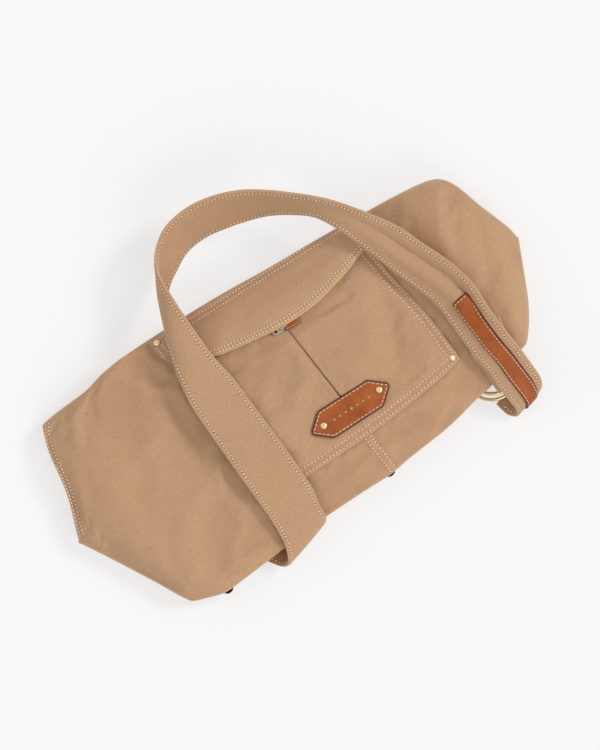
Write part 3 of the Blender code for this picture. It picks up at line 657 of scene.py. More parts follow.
def stitches(name, rows, mat, pitch=3.3, length=2.3, radius=0.42, lift=0.12, slant=0.16, needle_shade_r=0.36):
    """rows: list of (path Nx3, normals Nx3) in mm."""
    tv, tf = stitch_template()
    V, F, H = [], [], []
    off = 0
    ca = np.cos(2 * np.pi * np.arange(8) / 8)
    sa = np.sin(2 * np.pi * np.arange(8) / 8)
    for path, nrm in rows:
        d = np.linalg.norm(np.diff(path, axis=0), axis=1)
        s = np.concatenate([[0], np.cumsum(d)])
        n = max(1, int(round(s[-1] / pitch)))
        t = (np.arange(n) + 0.5) * s[-1] / n
        jit = (RNG.rand(n) - 0.5)
        for q, jt in zip(t, jit):
            h = length / 2 * (1 + 0.10 * jt)
            a = np.array([np.interp(q - h, s, path[:, k]) for k in range(3)])
            b = np.array([np.interp(q + h, s, path[:, k]) for k in range(3)])
            c = np.array([np.interp(q, s, path[:, k]) for k in range(3)])
            nn = np.array([np.interp(q, s, nrm[:, k]) for k in range(3)])
            nn /= np.linalg.norm(nn)
            ax = b - a
            L = np.linalg.norm(ax)
            if L < 1e-6:
                continue
            ax /= L
            nn = nn - ax * np.dot(nn, ax)
            nn /= np.linalg.norm(nn)
            bi = np.cross(nn, ax)
            bow = 0.12 * (1 - (tv[:, 0] * 2) ** 2)
            w = ax + bi * (slant + 0.12 * jt)
            pts = c + np.outer(tv[:, 0] * L, w) + np.outer(tv[:, 1] * radius, bi) + \
                np.outer(tv[:, 2] * radius * 0.8 + lift + bow, nn)
            V.append(pts)
            F += [tuple(i + off for i in f) for f in tf]
            off += len(pts)
            # a small dark disc after each stitch: painted shade of the needle hole
            if needle_shade_r and q + s[-1] / n / 2 < s[-1] - 0.1:
                e = q + s[-1] / n / 2
                g = np.array([np.interp(e, s, path[:, k]) for k in range(3)]) + nn * (lift + 0.06)
                ring = g + np.outer(ca * needle_shade_r * 0.8, ax) + np.outer(sa * needle_shade_r * 1.05, bi)
                H.append((ring, nn))
    nf = len(F)
    for ring, nn in H:
        V.append(np.concatenate([ring, ring.mean(0)[None, :] + nn * 0.08, ring.mean(0)[None, :] - nn * 0.3]))
        for k in range(8):
            F.append((off + k, off + (k + 1) % 8, off + 8))
            F.append((off + (k + 1) % 8, off + k, off + 9))
        off += 10
    ob = make_obj(name, np.concatenate(V) * MM, F, mat, smooth_angle=80)
    if H:
        ob.data.materials.append(M_NEEDLE_SHADE)
        mi = np.zeros(len(F), np.int32)
        mi[nf:] = 1
        ob.data.polygons.foreach_set("material_index", mi)
    return ob


def cosspace(n, a=0.0, b=1.0):
    return a + (b - a) * (0.5 - 0.5 * np.cos(np.pi * np.linspace(0, 1, n)))


def centre_x(y):
    return 13.1 + (67.8 - y) * 0.0877


# ============================================================ cloth simulation
def buckle(P, pins, grow, pressure, frames, cap, step=(2, 2), seed=0, quality=5):
    """Let a copy of the sheet P buckle as cloth a little too large for its
    sewn edges. Gives how far each point of P moved along its normal, in mm."""
    nu, nv = P.shape[:2]
    iu = np.unique(np.append(np.arange(0, nu, step[0]), nu - 1))
    iv = np.unique(np.append(np.arange(0, nv, step[1]), nv - 1))
    Q = P[np.ix_(iu, iv)]
    K = pins[np.ix_(iu, iv)]
    mu, mv = Q.shape[:2]
    rs = np.random.RandomState(seed)
    nn = grid_normals(Q)
    start = Q + nn * (rs.rand(mu, mv, 1) - 0.5) * 0.5 * (1 - K)[:, :, None]
    me = bpy.data.meshes.new("buckle")
    ii, jj = np.meshgrid(np.arange(mu - 1), np.arange(mv - 1), indexing="ij")
    a = (ii * mv + jj).reshape(-1)
    me.from_pydata((start.reshape(-1, 3) * MM).tolist(), [], np.stack([a, a + mv, a + mv + 1, a + 1], 1).tolist())
    ob = bpy.data.objects.new("buckle", me)
    bpy.context.scene.collection.objects.link(ob)
    vg = ob.vertex_groups.new(name="pin")
    kk = K.reshape(-1)
    for i in range(len(kk)):
        if kk[i] > 0:
            vg.add([i], float(kk[i]), "REPLACE")
    cm = ob.modifiers.new("cloth", "CLOTH")
    st_ = cm.settings
    st_.quality = quality
    st_.mass = 0.35
    st_.tension_stiffness = 25
    st_.compression_stiffness = 25
    st_.shear_stiffness = 12
    st_.bending_stiffness = 2.2
    st_.tension_damping = 12
    st_.compression_damping = 12
    st_.bending_damping = 1.5
    st_.air_damping = 3
    st_.vertex_group_mass = "pin"
    st_.pin_stiffness = 5
    st_.shrink_min = -grow
    st_.use_pressure = True
    st_.uniform_pressure_force = pressure
    st_.effector_weights.gravity = 0
    cm.collision_settings.use_collision = False
    cm.point_cache.frame_start = 1
    cm.point_cache.frame_end = frames
    sc = bpy.context.scene
    for f in range(1, frames + 1):
        sc.frame_set(f)
    dg = bpy.context.evaluated_depsgraph_get()
    ev = ob.evaluated_get(dg)
    co = np.empty(mu * mv * 3)
    ev.data.vertices.foreach_get("co", co)
    D = ((co.reshape(mu, mv, 3) / MM - Q) * nn).sum(2)
    bpy.data.objects.remove(ob, do_unlink=True)
    bpy.data.meshes.remove(me)
    sc.frame_set(1)
    D = np.nan_to_num(D)
    D = cap * np.tanh(D / cap)
    # back to the fine grid
    fu = np.interp(np.arange(nu), iu, np.arange(mu))
    fv = np.interp(np.arange(nv), iv, np.arange(mv))
    out = np.zeros((nu, nv))
    i0 = np.minimum(fu.astype(int), mu - 2)
    j0 = np.minimum(fv.astype(int), mv - 2)
    a_ = (fu - i0)[:, None]
    b_ = (fv - j0)[None, :]
    out = (D[np.ix_(i0, j0)] * (1 - a_) * (1 - b_) + D[np.ix_(i0 + 1, j0)] * a_ * (1 - b_)
           + D[np.ix_(i0, j0 + 1)] * (1 - a_) * b_ + D[np.ix_(i0 + 1, j0 + 1)] * a_ * b_)
    # one light smoothing pass
    s_ = out.copy()
    s_[1:-1, 1:-1] = (out[1:-1, 1:-1] * 4 + out[:-2, 1:-1] + out[2:, 1:-1] + out[1:-1, :-2] + out[1:-1, 2:]) / 8
    return s_


# ============================================================ the bag's body
def seam_groove(x, y, path, width, depth):
    """Distance-based dip along a polyline path [(x, y)...]."""
    best = np.full(np.shape(x), 1e9)
    for (x0, y0), (x1, y1) in zip(path[:-1], path[1:]):
        dx, dy = x1 - x0, y1 - y0
        t = np.clip(((x - x0) * dx + (y - y0) * dy) / (dx * dx + dy * dy), 0, 1)
        best = np.minimum(best, np.hypot(x - x0 - t * dx, y - y0 - t * dy))
    return -depth * np.exp(-(best / width) ** 2)


def felled(x, y):
    """Raised felled seam below the pocket."""
    c = centre_x(y) - 1.0
    d = x - c
    k = (1 - sm(-90, -86, y))
    band = 0.9 * (sm(-4.4, -3.2, d) * (1 - sm(4.6, 5.2, d)))
    rows = -0.45 * (np.exp(-((d + 2.5) / 0.8) ** 2) + np.exp(-((d - 2.5) / 0.8) ** 2))
    return (band + rows) * k


def left_seam(x, y):
    """Distance inside the left end's stitched edge."""
    # x of the edge at this height
    return x - LEFT_EDGE(y)


LEFT_EDGE = table([(-37.0, -218.5), (-21.0, -213.5), (-2.0, -207.0), (15.0, -203.2), (35.0, -200.5), (50.0, -196.5), (60.3, -190.5), (64.0, -170.0)])

NU, NV = 300, 150


def body_grid(which):
    u = np.linspace(0, 1, NU)
    w = 0.5 - 0.5 * np.cos(np.pi * u)
    w = 0.72 * w + 0.28 * u
    x = -HALF_X + 2 * HALF_X * w
    v = 0.5 - 0.5 * np.cos(np.pi * np.linspace(0, 1, NV))
    X = np.repeat(x[:, None], NV, 1)
    yb, yt = y_bot(x)[:, None], y_top(x)[:, None]
    Y = yb + (yt - yb) * v[None, :]
    if which == "front":
        Z = front_vis(X, Y) + felled(X, Y)
        # stitched hem along the left end
        d = left_seam(X, Y) + 0.3
        k = (1 - sm(6.5, 8.5, d)) * sm(-34, -26, Y) * (1 - sm(56, 62, Y))
        Z = Z + 0.5 * k - 0.4 * k * (np.exp(-((d - 1.8) / 0.7) ** 2) + np.exp(-((d - 4.8) / 0.7) ** 2))
    else:
        Z = back_z(X, Y) + 0.25 * pnoise(X, Y, 30, 9.0) * 0
    X = X - 2.2 * sm(150, 218, -X) + 0.9 * sm(150, 218, X)
    return np.stack([X, Y, Z], 2)


XS0 = -HALF_X + 2 * HALF_X * (0.72 * (0.5 - 0.5 * np.cos(np.pi * np.linspace(0, 1, NU))) + 0.28 * np.linspace(0, 1, NU))
F = body_grid("front")
B = body_grid("back")
FX, FY = F[:, :, 0], F[:, :, 1]
rim = np.zeros(FX.shape)
rim[0, :] = rim[-1, :] = rim[:, 0] = rim[:, -1] = 1.0
under_pocket = sm(-84, -70, FX) * (1 - sm(108, 124, FX)) * sm(-95, -84, FY)
pins = np.clip(rim + 0.6 * (under_pocket > 0.5), 0, 1)
WR = buckle(F, pins, 0.035, 0.6, 22, 3.2, step=(3, 3), seed=3)
WR = WR * (1 - 0.95 * under_pocket)
WRK = np.clip(np.minimum(FY - y_bot(FX), y_top(FX) - FY) / 5.0, 0, 1) * np.clip((218 - np.abs(FX)) / 6.0, 0, 1)
F[:, :, 2] += WR * WRK
FN = grid_normals(F)
print("front wrinkles mm", round(float(WR.min()), 2), round(float(WR.max()), 2), round(float(WR.std()), 2))


def front_pt(x, y, lift=0.0):
    """Points on the visible front at plan positions."""
    x = np.asarray(x, float)
    y = np.asarray(y, float)
    xs = F[:, 0, 0]
    fu = np.interp(x, xs, np.arange(NU))
    x0_ = np.interp(fu, np.arange(NU), XS0)
    s = across(x0_, y)
    vv = np.arccos(np.clip(1 - 2 * s, -1, 1)) / np.pi * (NV - 1)
    p = sample_grid(F, fu, vv)
    n = sample_grid(FN, fu, vv)
    n /= np.linalg.norm(n, axis=1, keepdims=True)
    return p + n * lift, n


P_BOT = table([(-75.0, -93.0), (-34.0, -92.3), (28.0, -91.0), (80.0, -86.9), (117.5, -81.3), (124.5, -79.3)])
P_RIGHT = table([(-93.0, 124.4), (-80.0, 124.2), (-60.0, 123.4), (-36.0, 121.7), (-17.5, 118.8), (0.0, 115.3),
                 (34.0, 110.6), (66.0, 105.0)])
P_LEFT = table([(-94.0, -67.2), (0.0, -75.0), (71.0, -81.0)])


def shade_front(X, Y):
    """Painted shade on the front: darker colour down in its folds, painted shadow lines along the pocket's bottom and
    right edges and beside the felled seam, darker lines on the seam's stitch rows and a darker hem band at the left
    end.
    """
    w = folds(X, Y) + 1.2 * pnoise(X, Y, 38, 1.3) + WR
    s = np.clip(-w / 3.0, 0, 1) * 0.16
    db = P_BOT(X) - Y                                  # below the pocket's bottom edge
    dr = X - P_RIGHT(Y)                                # right of its right edge
    inx = sm(-70, -66, X) * (1 - sm(124, 126, X))
    iny = sm(-84, -80, Y) * (1 - sm(50, 60, Y))
    s = np.maximum(s, 0.34 * np.exp(-np.maximum(db, 0) / 1.6) * (db > -2.5) * inx)
    s = np.maximum(s, 0.34 * np.exp(-np.maximum(dr, 0) / 1.6) * (dr > -2.5) * iny)
    df = X - (centre_x(Y) - 1.0) - 5.4
    s = np.maximum(s, 0.40 * np.exp(-(df / 0.9) ** 2) * (1 - sm(-90, -86, Y)))
    for k in (-2.5, 2.5):
        s = np.maximum(s, 0.14 * np.exp(-((X - (centre_x(Y) - 1.0) - k) / 1.0) ** 2) * (1 - sm(-90, -86, Y)))
    d = X + 2.2 - LEFT_EDGE(Y)
    s = np.maximum(s, 0.12 * (1 - sm(6.0, 7.5, d)) * sm(-36, -30, Y) * (1 - sm(58, 63, Y)))
    return s


dist_edge = np.minimum(F[:, :, 1] - y_bot(F[:, :, 0]), y_top(F[:, :, 0]) - F[:, :, 1])
wear = np.clip(1 - dist_edge / 1.6, 0, 1) * 0.6
bag_front = shell("bag_front", F, 1.6, M_CANVAS, 1.0, {"wear": wear, "shade": shade_front(F[:, :, 0], F[:, :, 1])})
bag_back = shell("bag_back", B, 1.6, M_BACK, -1.0, {"wear": wear * 0.5})
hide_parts("front_panel_left", "front_panel_right")
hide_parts("back_panel")
for o in (bag_front, bag_back):
    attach(o, "root")

# the golden cotton lining hangs just inside the canvas
sx = (F[:, 0, 0] > -187) & (F[:, 0, 0] < 193)
sy = np.zeros(NV, bool)
sy[int(0.17 * NV):int(0.86 * NV)] = True
for nm, G, sgn, off_, node in (("lining_front_cotton", F, 1.0, 2.3, "lining_front"), ("lining_back_cotton", B, -1.0, 4.4, "lining_back")):
    gn = grid_normals(G)
    if gn[NU // 2, NV // 2, 2] < 0:
        gn = -gn
    P_ = (G - gn * off_ * sgn)[sx][:, sy]
    P_[:, :, 2] -= sgn * (0.5 + 0.5 * pnoise(P_[:, :, 0], P_[:, :, 1], 17, 20.0 + off_) + 0.3 * pnoise(P_[:, :, 0], P_[:, :, 1], 8, 3.0 + off_))
    lo_ = shell(nm, P_, 0.6, M_LINING, sgn)
    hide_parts(node)
    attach(lo_, "root")

# stitch rows on the body: left end hem and felled seam
rows = []
yy = np.linspace(-33, 60.5, 60)
for d in (1.8, 4.8):
    p, n = front_pt(LEFT_EDGE(yy) + d - 1.6, yy, 0.0)
    rows.append((p, n))
yy = np.linspace(-127.2, -91.5, 30)
for d in (-2.5, 2.5):
    p, n = front_pt(centre_x(yy) - 1.0 + d, yy)
    rows.append((p, n))
st = stitches("body_stitches", rows, M_THREAD, pitch=3.1, length=2.1, radius=0.5, lift=0.14)
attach(st, "root")

# ============================================================ patch pocket
POCKET_RISE = 6.5
HEM = (2.3, 7.2)


def pleat_x(y):
    return centre_x(y) + 1.7


def pocket_depth(x, y):
    side = np.minimum(x - P_LEFT(y), P_RIGHT(y) - x)
    return side, y - P_BOT(x)


POCKET_FOLDS = [
    (-15, 8, 34, 8, 50, -2.0), (-24, -8, 26, 8, 62, 1.4), (2, 12, 22, 7, 25, -1.2), (38, 10, 30, 7, -35, -1.8),
    (60, 14, 26, 7, -50, 1.0), (86, -40, 40, 9, 58, -2.0), (70, -22, 44, 10, 55, 1.6), (104, -60, 22, 8, 45, 1.6),
    (100, 0, 30, 8, 78, -1.2), (0, -30, 26, 10, 20, 0.8), (-30, -60, 24, 9, 10, 1.0), (78, -72, 34, 6, 8, -1.0),
    (42, -40, 36, 10, 85, 0.8),
]


def pocket_surface(x, y):
    side, bot = pocket_depth(x, y)
    dd = np.minimum(side, bot)
    z = front_z(x, y) + 0.5 + (POCKET_RISE - 0.5) * sm(0.0, 12.0, dd)
    w = 0.9 * pnoise(x, y, 34, 3.3) + 0.4 * pnoise(x, y, 14, 7.7)
    for cx, cy, lx, ly, ang, h in POCKET_FOLDS:
        w = w + h * gauss(x, y, cx, cy, lx, ly, ang)
    k = sm(3.0, 16.0, dd)
    hem = 0.6 * (1 - sm(8.3, 9.6, dd)) - 0.5 * (np.exp(-((dd - HEM[0]) / 0.8) ** 2) + np.exp(-((dd - HEM[1]) / 0.8) ** 2))
    dc = np.abs(x - pleat_x(y))
    deep = sm(-58, -48, y)
    crease = -(0.35 * sm(-92, -86, y) + 2.6 * deep) * np.exp(-(dc / 0.42) ** 2) + (0.25 + 0.35 * deep) * np.exp(-((dc - 2.6) / 2.2) ** 2)
    # the pleat's two folded edges part a little halfway down
    return z + 1.5 + w * k + hem + crease


def pocket_pt(x, y):
    x = np.asarray(x, float)
    y = np.asarray(y, float)
    e = 0.8
    z = pocket_surface(x, y)
    gx = (pocket_surface(x + e, y) - pocket_surface(x - e, y)) / (2 * e)
    gy = (pocket_surface(x, y + e) - pocket_surface(x, y - e)) / (2 * e)
    n = np.stack([-gx, -gy, np.ones_like(gx)], 1)
    n /= np.linalg.norm(n, axis=1, keepdims=True)
    return np.stack([x, y, z], 1), n


NPH, NPV = 56, 104
ul = 0.5 - 0.5 * np.cos(np.pi * np.linspace(0, 1, NPH))
ul = 0.8 * ul + 0.2 * np.linspace(0, 1, NPH)
PP = np.zeros((2 * NPH - 1, NPV, 3))
vq = np.linspace(0, 1, NPV) ** 1.12
for j, q_ in enumerate(vq):
    y_ = np.full(2 * NPH - 1, -91.0 + (30 + 91.0) * q_)
    for _ in range(4):
        a_, b_, c_ = P_LEFT(y_), P_RIGHT(y_), pleat_x(y_)
        xl = a_[:NPH] + (c_[:NPH] - a_[:NPH]) * ul
        xr = c_[NPH - 1:] + (b_[NPH - 1:] - c_[NPH - 1:]) * ul
        x_ = np.concatenate([xl, xr[1:]])
        top_ = 30.0 + 9.5 * sm(70, 82, x_) + 9.5 * sm(48, 58, -x_)
        lo_ = P_BOT(x_)
        y_ = lo_ + (top_ - lo_) * q_
    PP[:, j, 0] = x_
    PP[:, j, 1] = y_
PP[:, :, 2] = pocket_surface(PP[:, :, 0], PP[:, :, 1])
X, Y = PP[:, :, 0], PP[:, :, 1]
side_, bot_ = pocket_depth(X, Y)
dmin_ = np.minimum(side_, bot_)
pin_ = np.clip(1.0 * (dmin_ < 9.0) + 0.9 * (np.abs(X - pleat_x(Y)) < 1.2) + 1.0 * (Y < -76), 0, 1)
pin_[:, -1] = 0.8
lab_ = (np.abs(X - 27) < 40) & (np.abs(Y + 65) < 15)
pin_ = np.where(lab_, 1.0, pin_)
WP = buckle(PP, pin_, 0.03, 0.3, 22, 2.4, step=(2, 2), seed=5)
WP = WP * sm(8, 16, dmin_) * sm(1.0, 7.0, np.abs(X - pleat_x(Y))) * (1 - np.exp(-(((X - 27) / 42) ** 8 + ((Y + 65) / 17) ** 8)))
PP[:, :, 2] += WP
# the zip's pull slides along here, so the cloth lies below it
lim_ = min(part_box("zip_pull_link")[0][2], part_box("zip_tab_eye")[0][2]) / MM - 0.75
path_ = sm(-60, -52, X) * (1 - sm(76, 84, X)) * sm(8.5, 13.5, Y)
print("zip path: cloth lowered by", round(float((path_ * np.maximum(0, PP[:, :, 2] - lim_)).max()), 2), "mm")
PP[:, :, 2] -= path_ * np.maximum(0, PP[:, :, 2] - lim_)
print("pocket wrinkles mm", round(float(WP.min()), 2), round(float(WP.max()), 2), round(float(WP.std()), 2))
we = np.clip(1 - np.minimum(side_, bot_) / 1.1, 0, 1) * 0.6
dc = np.abs(X - pleat_x(Y))
# painted shade on the pocket: a dark line in the pleat's crease, a darker hem band, painted shadow under the flap's
# edge and a few soft darker patches
pocket_shade_paint = np.exp(-(dc / 0.36) ** 2) * (0.2 + 0.8 * sm(-58, -48, Y)) * sm(-92, -84, Y) * (0.45 + 0.55 * (1 - sm(-5, 14, Y)))
hemd = np.minimum(side_, bot_)
pocket_shade_paint = np.maximum(pocket_shade_paint, 0.17 * (1 - sm(7.4, 9.0, hemd)) * sm(1.2, 2.2, hemd))
pocket_shade_paint = np.maximum(pocket_shade_paint, 0.30 * gauss(X, Y, -2, 13, 22, 4.5, -6) + 0.34 * gauss(X, Y, 38, 15, 12, 5, 0)
                 + 0.36 * gauss(X, Y, -24, 3, 16, 15, 0) + 0.12 * gauss(X, Y, 70, -70, 8, 8, 0)
                 + 0.10 * gauss(X, Y, 36, -32, 30, 8, 60))
pocket = shell("pocket_face", PP, 1.4, M_CANVAS, 1.0, {"wear": we, "shade": pocket_shade_paint})
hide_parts("pocket_panel_left", "pocket_panel_right")
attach(pocket, "root")

rows = []
for d in HEM:
    xs = np.linspace(-66 + d, 124.0 - d, 140)
    rows.append(pocket_pt(xs, P_BOT(xs) + d))
    ys = np.linspace(-79.5 + d, 39.0, 80)
    rows.append(pocket_pt(P_RIGHT(ys) - d, ys))
    ys = np.linspace(-92 + d, 39.0, 80)
    rows.append(pocket_pt(P_LEFT(ys) + d, ys))
st = stitches("pocket_stitches", rows, M_THREAD, pitch=3.3, length=2.25, radius=0.52, lift=0.14)
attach(st, "root")

# band of the pocket above the zip, under the flap
bx = np.linspace(0, 1, 90)
by = np.linspace(0, 1, 14)
PBn = np.zeros((90, 14, 3))
for j, q_ in enumerate(by):
    y_ = 40.4 + 13.2 * q_
    a_, b_ = float(P_LEFT(y_)) + 1.2, float(P_RIGHT(y_)) - 1.5
    x_ = a_ + (b_ - a_) * bx
    d_ = np.minimum(x_ - a_, b_ - x_)
    r_ = sm(0, 11, d_)
    yy_ = np.full_like(x_, y_)
    z_ = front_z(x_, yy_) + 0.5 + (POCKET_RISE - 0.5) * r_ * (1 - 0.9 * sm(0.1, 1.0, q_)) + 1.5
    z_ = z_ + 0.25 * pnoise(x_, yy_, 16, 2.0) - 0.35 * np.exp(-((y_ - 42.4) / 0.6) ** 2)
    PBn[:, j] = np.stack([x_, yy_, z_], 1)
pband = shell("pocket_band_cloth", PBn, 1.4, M_CANVAS, 1.0)
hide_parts("pocket_top_band")
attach(pband, "root")

# ============================================================ flap and its facing
FE = table([(-82.2, 50.8), (-76.0, 46.7), (-60.0, 39.0), (-40.0, 31.6), (-35.0, 30.4), (-12.0, 26.7), (10.0, 23.9),
            (25.0, 22.9), (40.0, 23.3), (54.0, 25.1), (76.0, 30.3), (90.0, 33.9), (105.0, 38.5), (109.0, 39.6)])
LIP = table([(-82.0, 0.9), (-60.0, 1.2), (-35.0, 1.3), (-12.0, 1.4), (25.0, 1.7), (54.0, 2.1), (76.0, 2.3),
             (90.0, 1.9), (108.0, 0.8)])
FX_L = table([(46.7, -76.0), (50.0, -77.7), (54.0, -79.6), (62.0, -81.3), (71.0, -82.2)])
FH_Y, FH_Z = 58.0, 41.6
FLAP_RISE = 14.2
FLAP_ROWS = (1.0, 3.6)


def TOPLINE(x):
    return y_top(x) - 0.9


def row_top(x, k):
    return (67.8 - (x + 35) * 0.0190) if k == 0 else (64.0 - (x + 35) * 0.0152)


_FE0 = FE
FE = lambda x: _FE0(x) + 0.4


def flap_rise(x, y):
    k = 1 - sm(FH_Y - 16, FH_Y + 2, y)
    d = np.minimum(x + 81.0, 107.0 - x)
    side = 0.78 + 0.22 * sm(0, 26, d)
    r = 8.2 + (FLAP_RISE * side - 8.2) * k
    return r - 5.4 * sm(FH_Y - 2, FH_Y + 11, y)


FLAP_FOLDS = [(-62, 52, 16, 6, 70, 1.0), (-10, 46, 40, 6, 4, -1.0), (60, 48, 40, 7, -6, -1.0), (20, 34, 50, 6, 0, 0.9),
              (-30, 40, 18, 6, 40, 0.8), (85, 44, 20, 6, -30, 0.9), (35, 54, 40, 5, 3, 0.7)]


def flap_surface(x, y):
    w = 0.9 * pnoise(x, y, 30, 11.0) + 0.35 * pnoise(x, y, 12, 4.0)
    for cx, cy, lx, ly, ang, h in FLAP_FOLDS:
        w = w + h * gauss(x, y, cx, cy, lx, ly, ang)
    d = y - FE(x)
    g = lambda t: np.exp(-(t / 0.65) ** 2)
    rows = -0.42 * (g(d - FLAP_ROWS[0]) + g(d - FLAP_ROWS[1]))
    rows = rows - 0.42 * (g(y - row_top(x, 0)) + g(y - row_top(x, 1)))
    xe = x - FX_L(y)
    rows = rows - 0.42 * (g(xe - 2.0) + g(xe - 7.0)) * sm(52, 56, y)
    k = sm(0.5, 8.0, d) * (1 - 0.7 * sm(60, 66, y))
    return front_z(x, np.minimum(y, TOPLINE(x))) + flap_rise(x, y) + 2.0 + w * k + rows


def flap_pt(x, y):
    x = np.asarray(x, float)
    y = np.asarray(y, float)
    e = 0.8
    z = flap_surface(x, y)
    gx = (flap_surface(x + e, y) - flap_surface(x - e, y)) / (2 * e)
    gy = (flap_surface(x, y + e) - flap_surface(x, y - e)) / (2 * e)
    n = np.stack([-gx, -gy, np.ones_like(gx)], 1)
    n /= np.linalg.norm(n, axis=1, keepdims=True)
    return np.stack([x, y, z], 1), n


def flap_grid(inset, lip, nu, nv, top=None, dz=0.0):
    u = np.linspace(0, 1, nu)
    v = np.linspace(0, 1, nv)
    P = np.zeros((nu, nv, 3))
    for j, q_ in enumerate(v):
        yl = 46.7 + (71.0 - 46.7) * q_
        xl_ = float(FX_L(yl)) + inset
        xr_ = 108.2 - 2.4 * q_ - inset
        x_ = xl_ + (xr_ - xl_) * u
        ye = FE(x_) - (LIP(x_) if lip else 0)
        yt = TOPLINE(x_) if top is None else np.full(nu, top)
        P[:, j, 0] = x_
        P[:, j, 1] = ye + (yt - ye) * q_
    P[:, :, 2] = flap_surface(P[:, :, 0], P[:, :, 1]) + dz
    return P


PF = flap_grid(0.0, False, 170, 60)
dE = PF[:, :, 1] - FE(PF[:, :, 0])
# painted shade in the bands between the double stitch rows along the flap's edge and along its top
flap_shade_paint = 0.16 * sm(0.6, 1.3, dE) * (1 - sm(3.9, 5.2, dE))
tr_ = PF[:, :, 1]
flap_shade_paint = np.maximum(flap_shade_paint, 0.13 * sm(-1.2, 0.0, tr_ - row_top(PF[:, :, 0], 1)) * (1 - sm(0.0, 1.2, tr_ - row_top(PF[:, :, 0], 0))))
flap = shell("flap_face", PF, 1.5, M_CANVAS, 1.0, {"wear": np.clip(1 - dE / 1.0, 0, 1) * 0.6, "shade": flap_shade_paint})
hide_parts("pocket_flap")
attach(flap, "pocket_flap")
PG = flap_grid(1.0, True, 150, 30, top=60.0, dz=-1.75)
facing = shell("flap_facing_cloth", PG, 0.8, M_GOLD, 1.0)
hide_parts("flap_facing")
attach(facing, "pocket_flap")

rows = []
for d in FLAP_ROWS:
    xs = np.linspace(-74, 106.5, 170)
    rows.append(flap_pt(xs, FE(xs) + d))
for k in (0, 1):
    xs = np.linspace(-80.0 + (0 if k == 0 else 6), 105.5, 170)
    rows.append(flap_pt(xs, row_top(xs, k)))
for d in (2.0, 7.0):
    ys = np.linspace(53.5 if d < 3 else 47.5, 64.0, 16)
    rows.append(flap_pt(FX_L(ys) + d, ys))
st = stitches("flap_stitches", rows, M_THREAD, pitch=2.95, length=2.0, radius=0.5, lift=0.14)
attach(st, "pocket_flap")


# ============================================================ strap
def catmull(pts, n):
    pts = np.asarray(pts, float)
    m = len(pts) - 1
    f = np.linspace(0, m, n)
    i = np.minimum(f.astype(int), m - 1)
    t = (f - i)[:, None]
    p0 = pts[np.maximum(i - 1, 0)]
    p1 = pts[i]
    p2 = pts[i + 1]
    p3 = pts[np.minimum(i + 2, m)]
    return 0.5 * (2 * p1 + (p2 - p0) * t + (2 * p0 - 5 * p1 + 4 * p2 - p3) * t ** 2 + (3 * p1 - p0 - 3 * p2 + p3) * t ** 3)


HY, HZ = -116.0, 33.3
LEFT_FOLD = [
    ((-103.2, -127, 2.4), (-58.0, -118.5, 2.4)),
    ((-96.6, -137.6, 3.2), (-48.0, -128.6, 3.4)),
    ((-90.2, -144.6, 8.5), (-42.0, -131.6, 12)),
    ((-84.6, -143.8, 19.5), (-39.5, -130.4, 22)),
    ((-79.6, -131, 29), (-37.6, -125.6, 29.5)),
]
STRAP = [
    ((-77.6, HY, HZ), (-37.0, HY, HZ)),
    ((-77.4, -103, 39.5), (-34.6, -103, 39.5)),
    ((-77.8, -88, 45.2), (-34.6, -88, 45.2)),
    ((-78.8, -68, 48.2), (-35.0, -68, 48.2)),
    ((-79.8, -44, 49.2), (-36.4, -42, 49.2)),
    ((-80.6, -17, 49.8), (-38.2, -17, 49.8)),
    ((-80.9, 8, 52.0), (-39.8, 8, 52.0)),
    ((-77.9, 29, 54.0), (-43.5, 30, 57.5)),
    ((-73.6, 45.5, 52.5), (-44.8, 52, 59.0)),
    ((-67.0, 61, 48.5), (-45.4, 74, 60.0)),
    ((-59.3, 76.5, 40.0), (-45.6, 91, 61.0)),
    ((-51.0, 89.5, 31.0), (-45.2, 106, 61.0)),
    ((-43.4, 99.4, 25.5), (-42.0, 120.0, 60.0)),
    ((-33.0, 107.2, 22.5), (-33.0, 132.9, 58.5)),
    ((-16.0, 116, 21.0), (-17.6, 142.2, 56.0)),
    ((4.0, 118, 22.0), (5.0, 145.2, 54.5)),
    ((24.0, 115, 25.0), (27.0, 142.2, 55.0)),
    ((42.0, 110, 29.5), (47.5, 134.0, 57.0)),
    ((59.0, 103.4, 36.0), (67.0, 121.4, 60.0)),
    ((75.0, 93.5, 45.0), (86.0, 105.9, 64.0)),
    ((88.5, 81.0, 53.0), (105.5, 86.8, 68.0)),
    ((98.2, 63.5, 58.0), (123.0, 64.8, 70.0)),
    ((106.0, 43.0, 58.0), (139.4, 40.0, 69.0)),
    ((113.2, 23.3, 55.5), (149.4, 17.0, 67.0)),
    ((121.0, 1.0, 52.5), (158.0, -3.0, 66.0)),
    ((128.0, -18.0, 51.0), (164.0, -22.0, 65.5)),
    ((132.8, -36.0, 50.0), (166.5, -38.0, 65.0)),
    ((134.0, -60.0, 48.0), (166.5, -60.0, 62.5)),
    ((135.4, -82.0, 43.5), (168.2, -82.0, 57.0)),
    ((138.2, -99.0, 37.0), (170.4, -99.0, 46.0)),
    ((138.5, HY, HZ - 2.0), (171.8, HY, HZ + 1.4)),
]
RIGHT_FOLD = [
    ((140.2, -131, 23.5), (172.3, -126.5, 28)),
    ((140.9, -141.0, 16.0), (170.4, -133.6, 20)),
    ((138.2, -144.6, 9.0), (166.0, -136.4, 10)),
    ((133.2, -139.5, 3.4), (160.5, -131, 3.4)),
    ((130.4, -128, 2.0), (157.5, -120.5, 2.0)),
]
ALL = LEFT_FOLD + STRAP + RIGHT_FOLD
NS = 520
E1 = catmull([a for a, b in ALL], NS)
E2 = catmull([b for a, b in ALL], NS)
tt = np.linspace(0, len(ALL) - 1, NS)      # station number of each sample
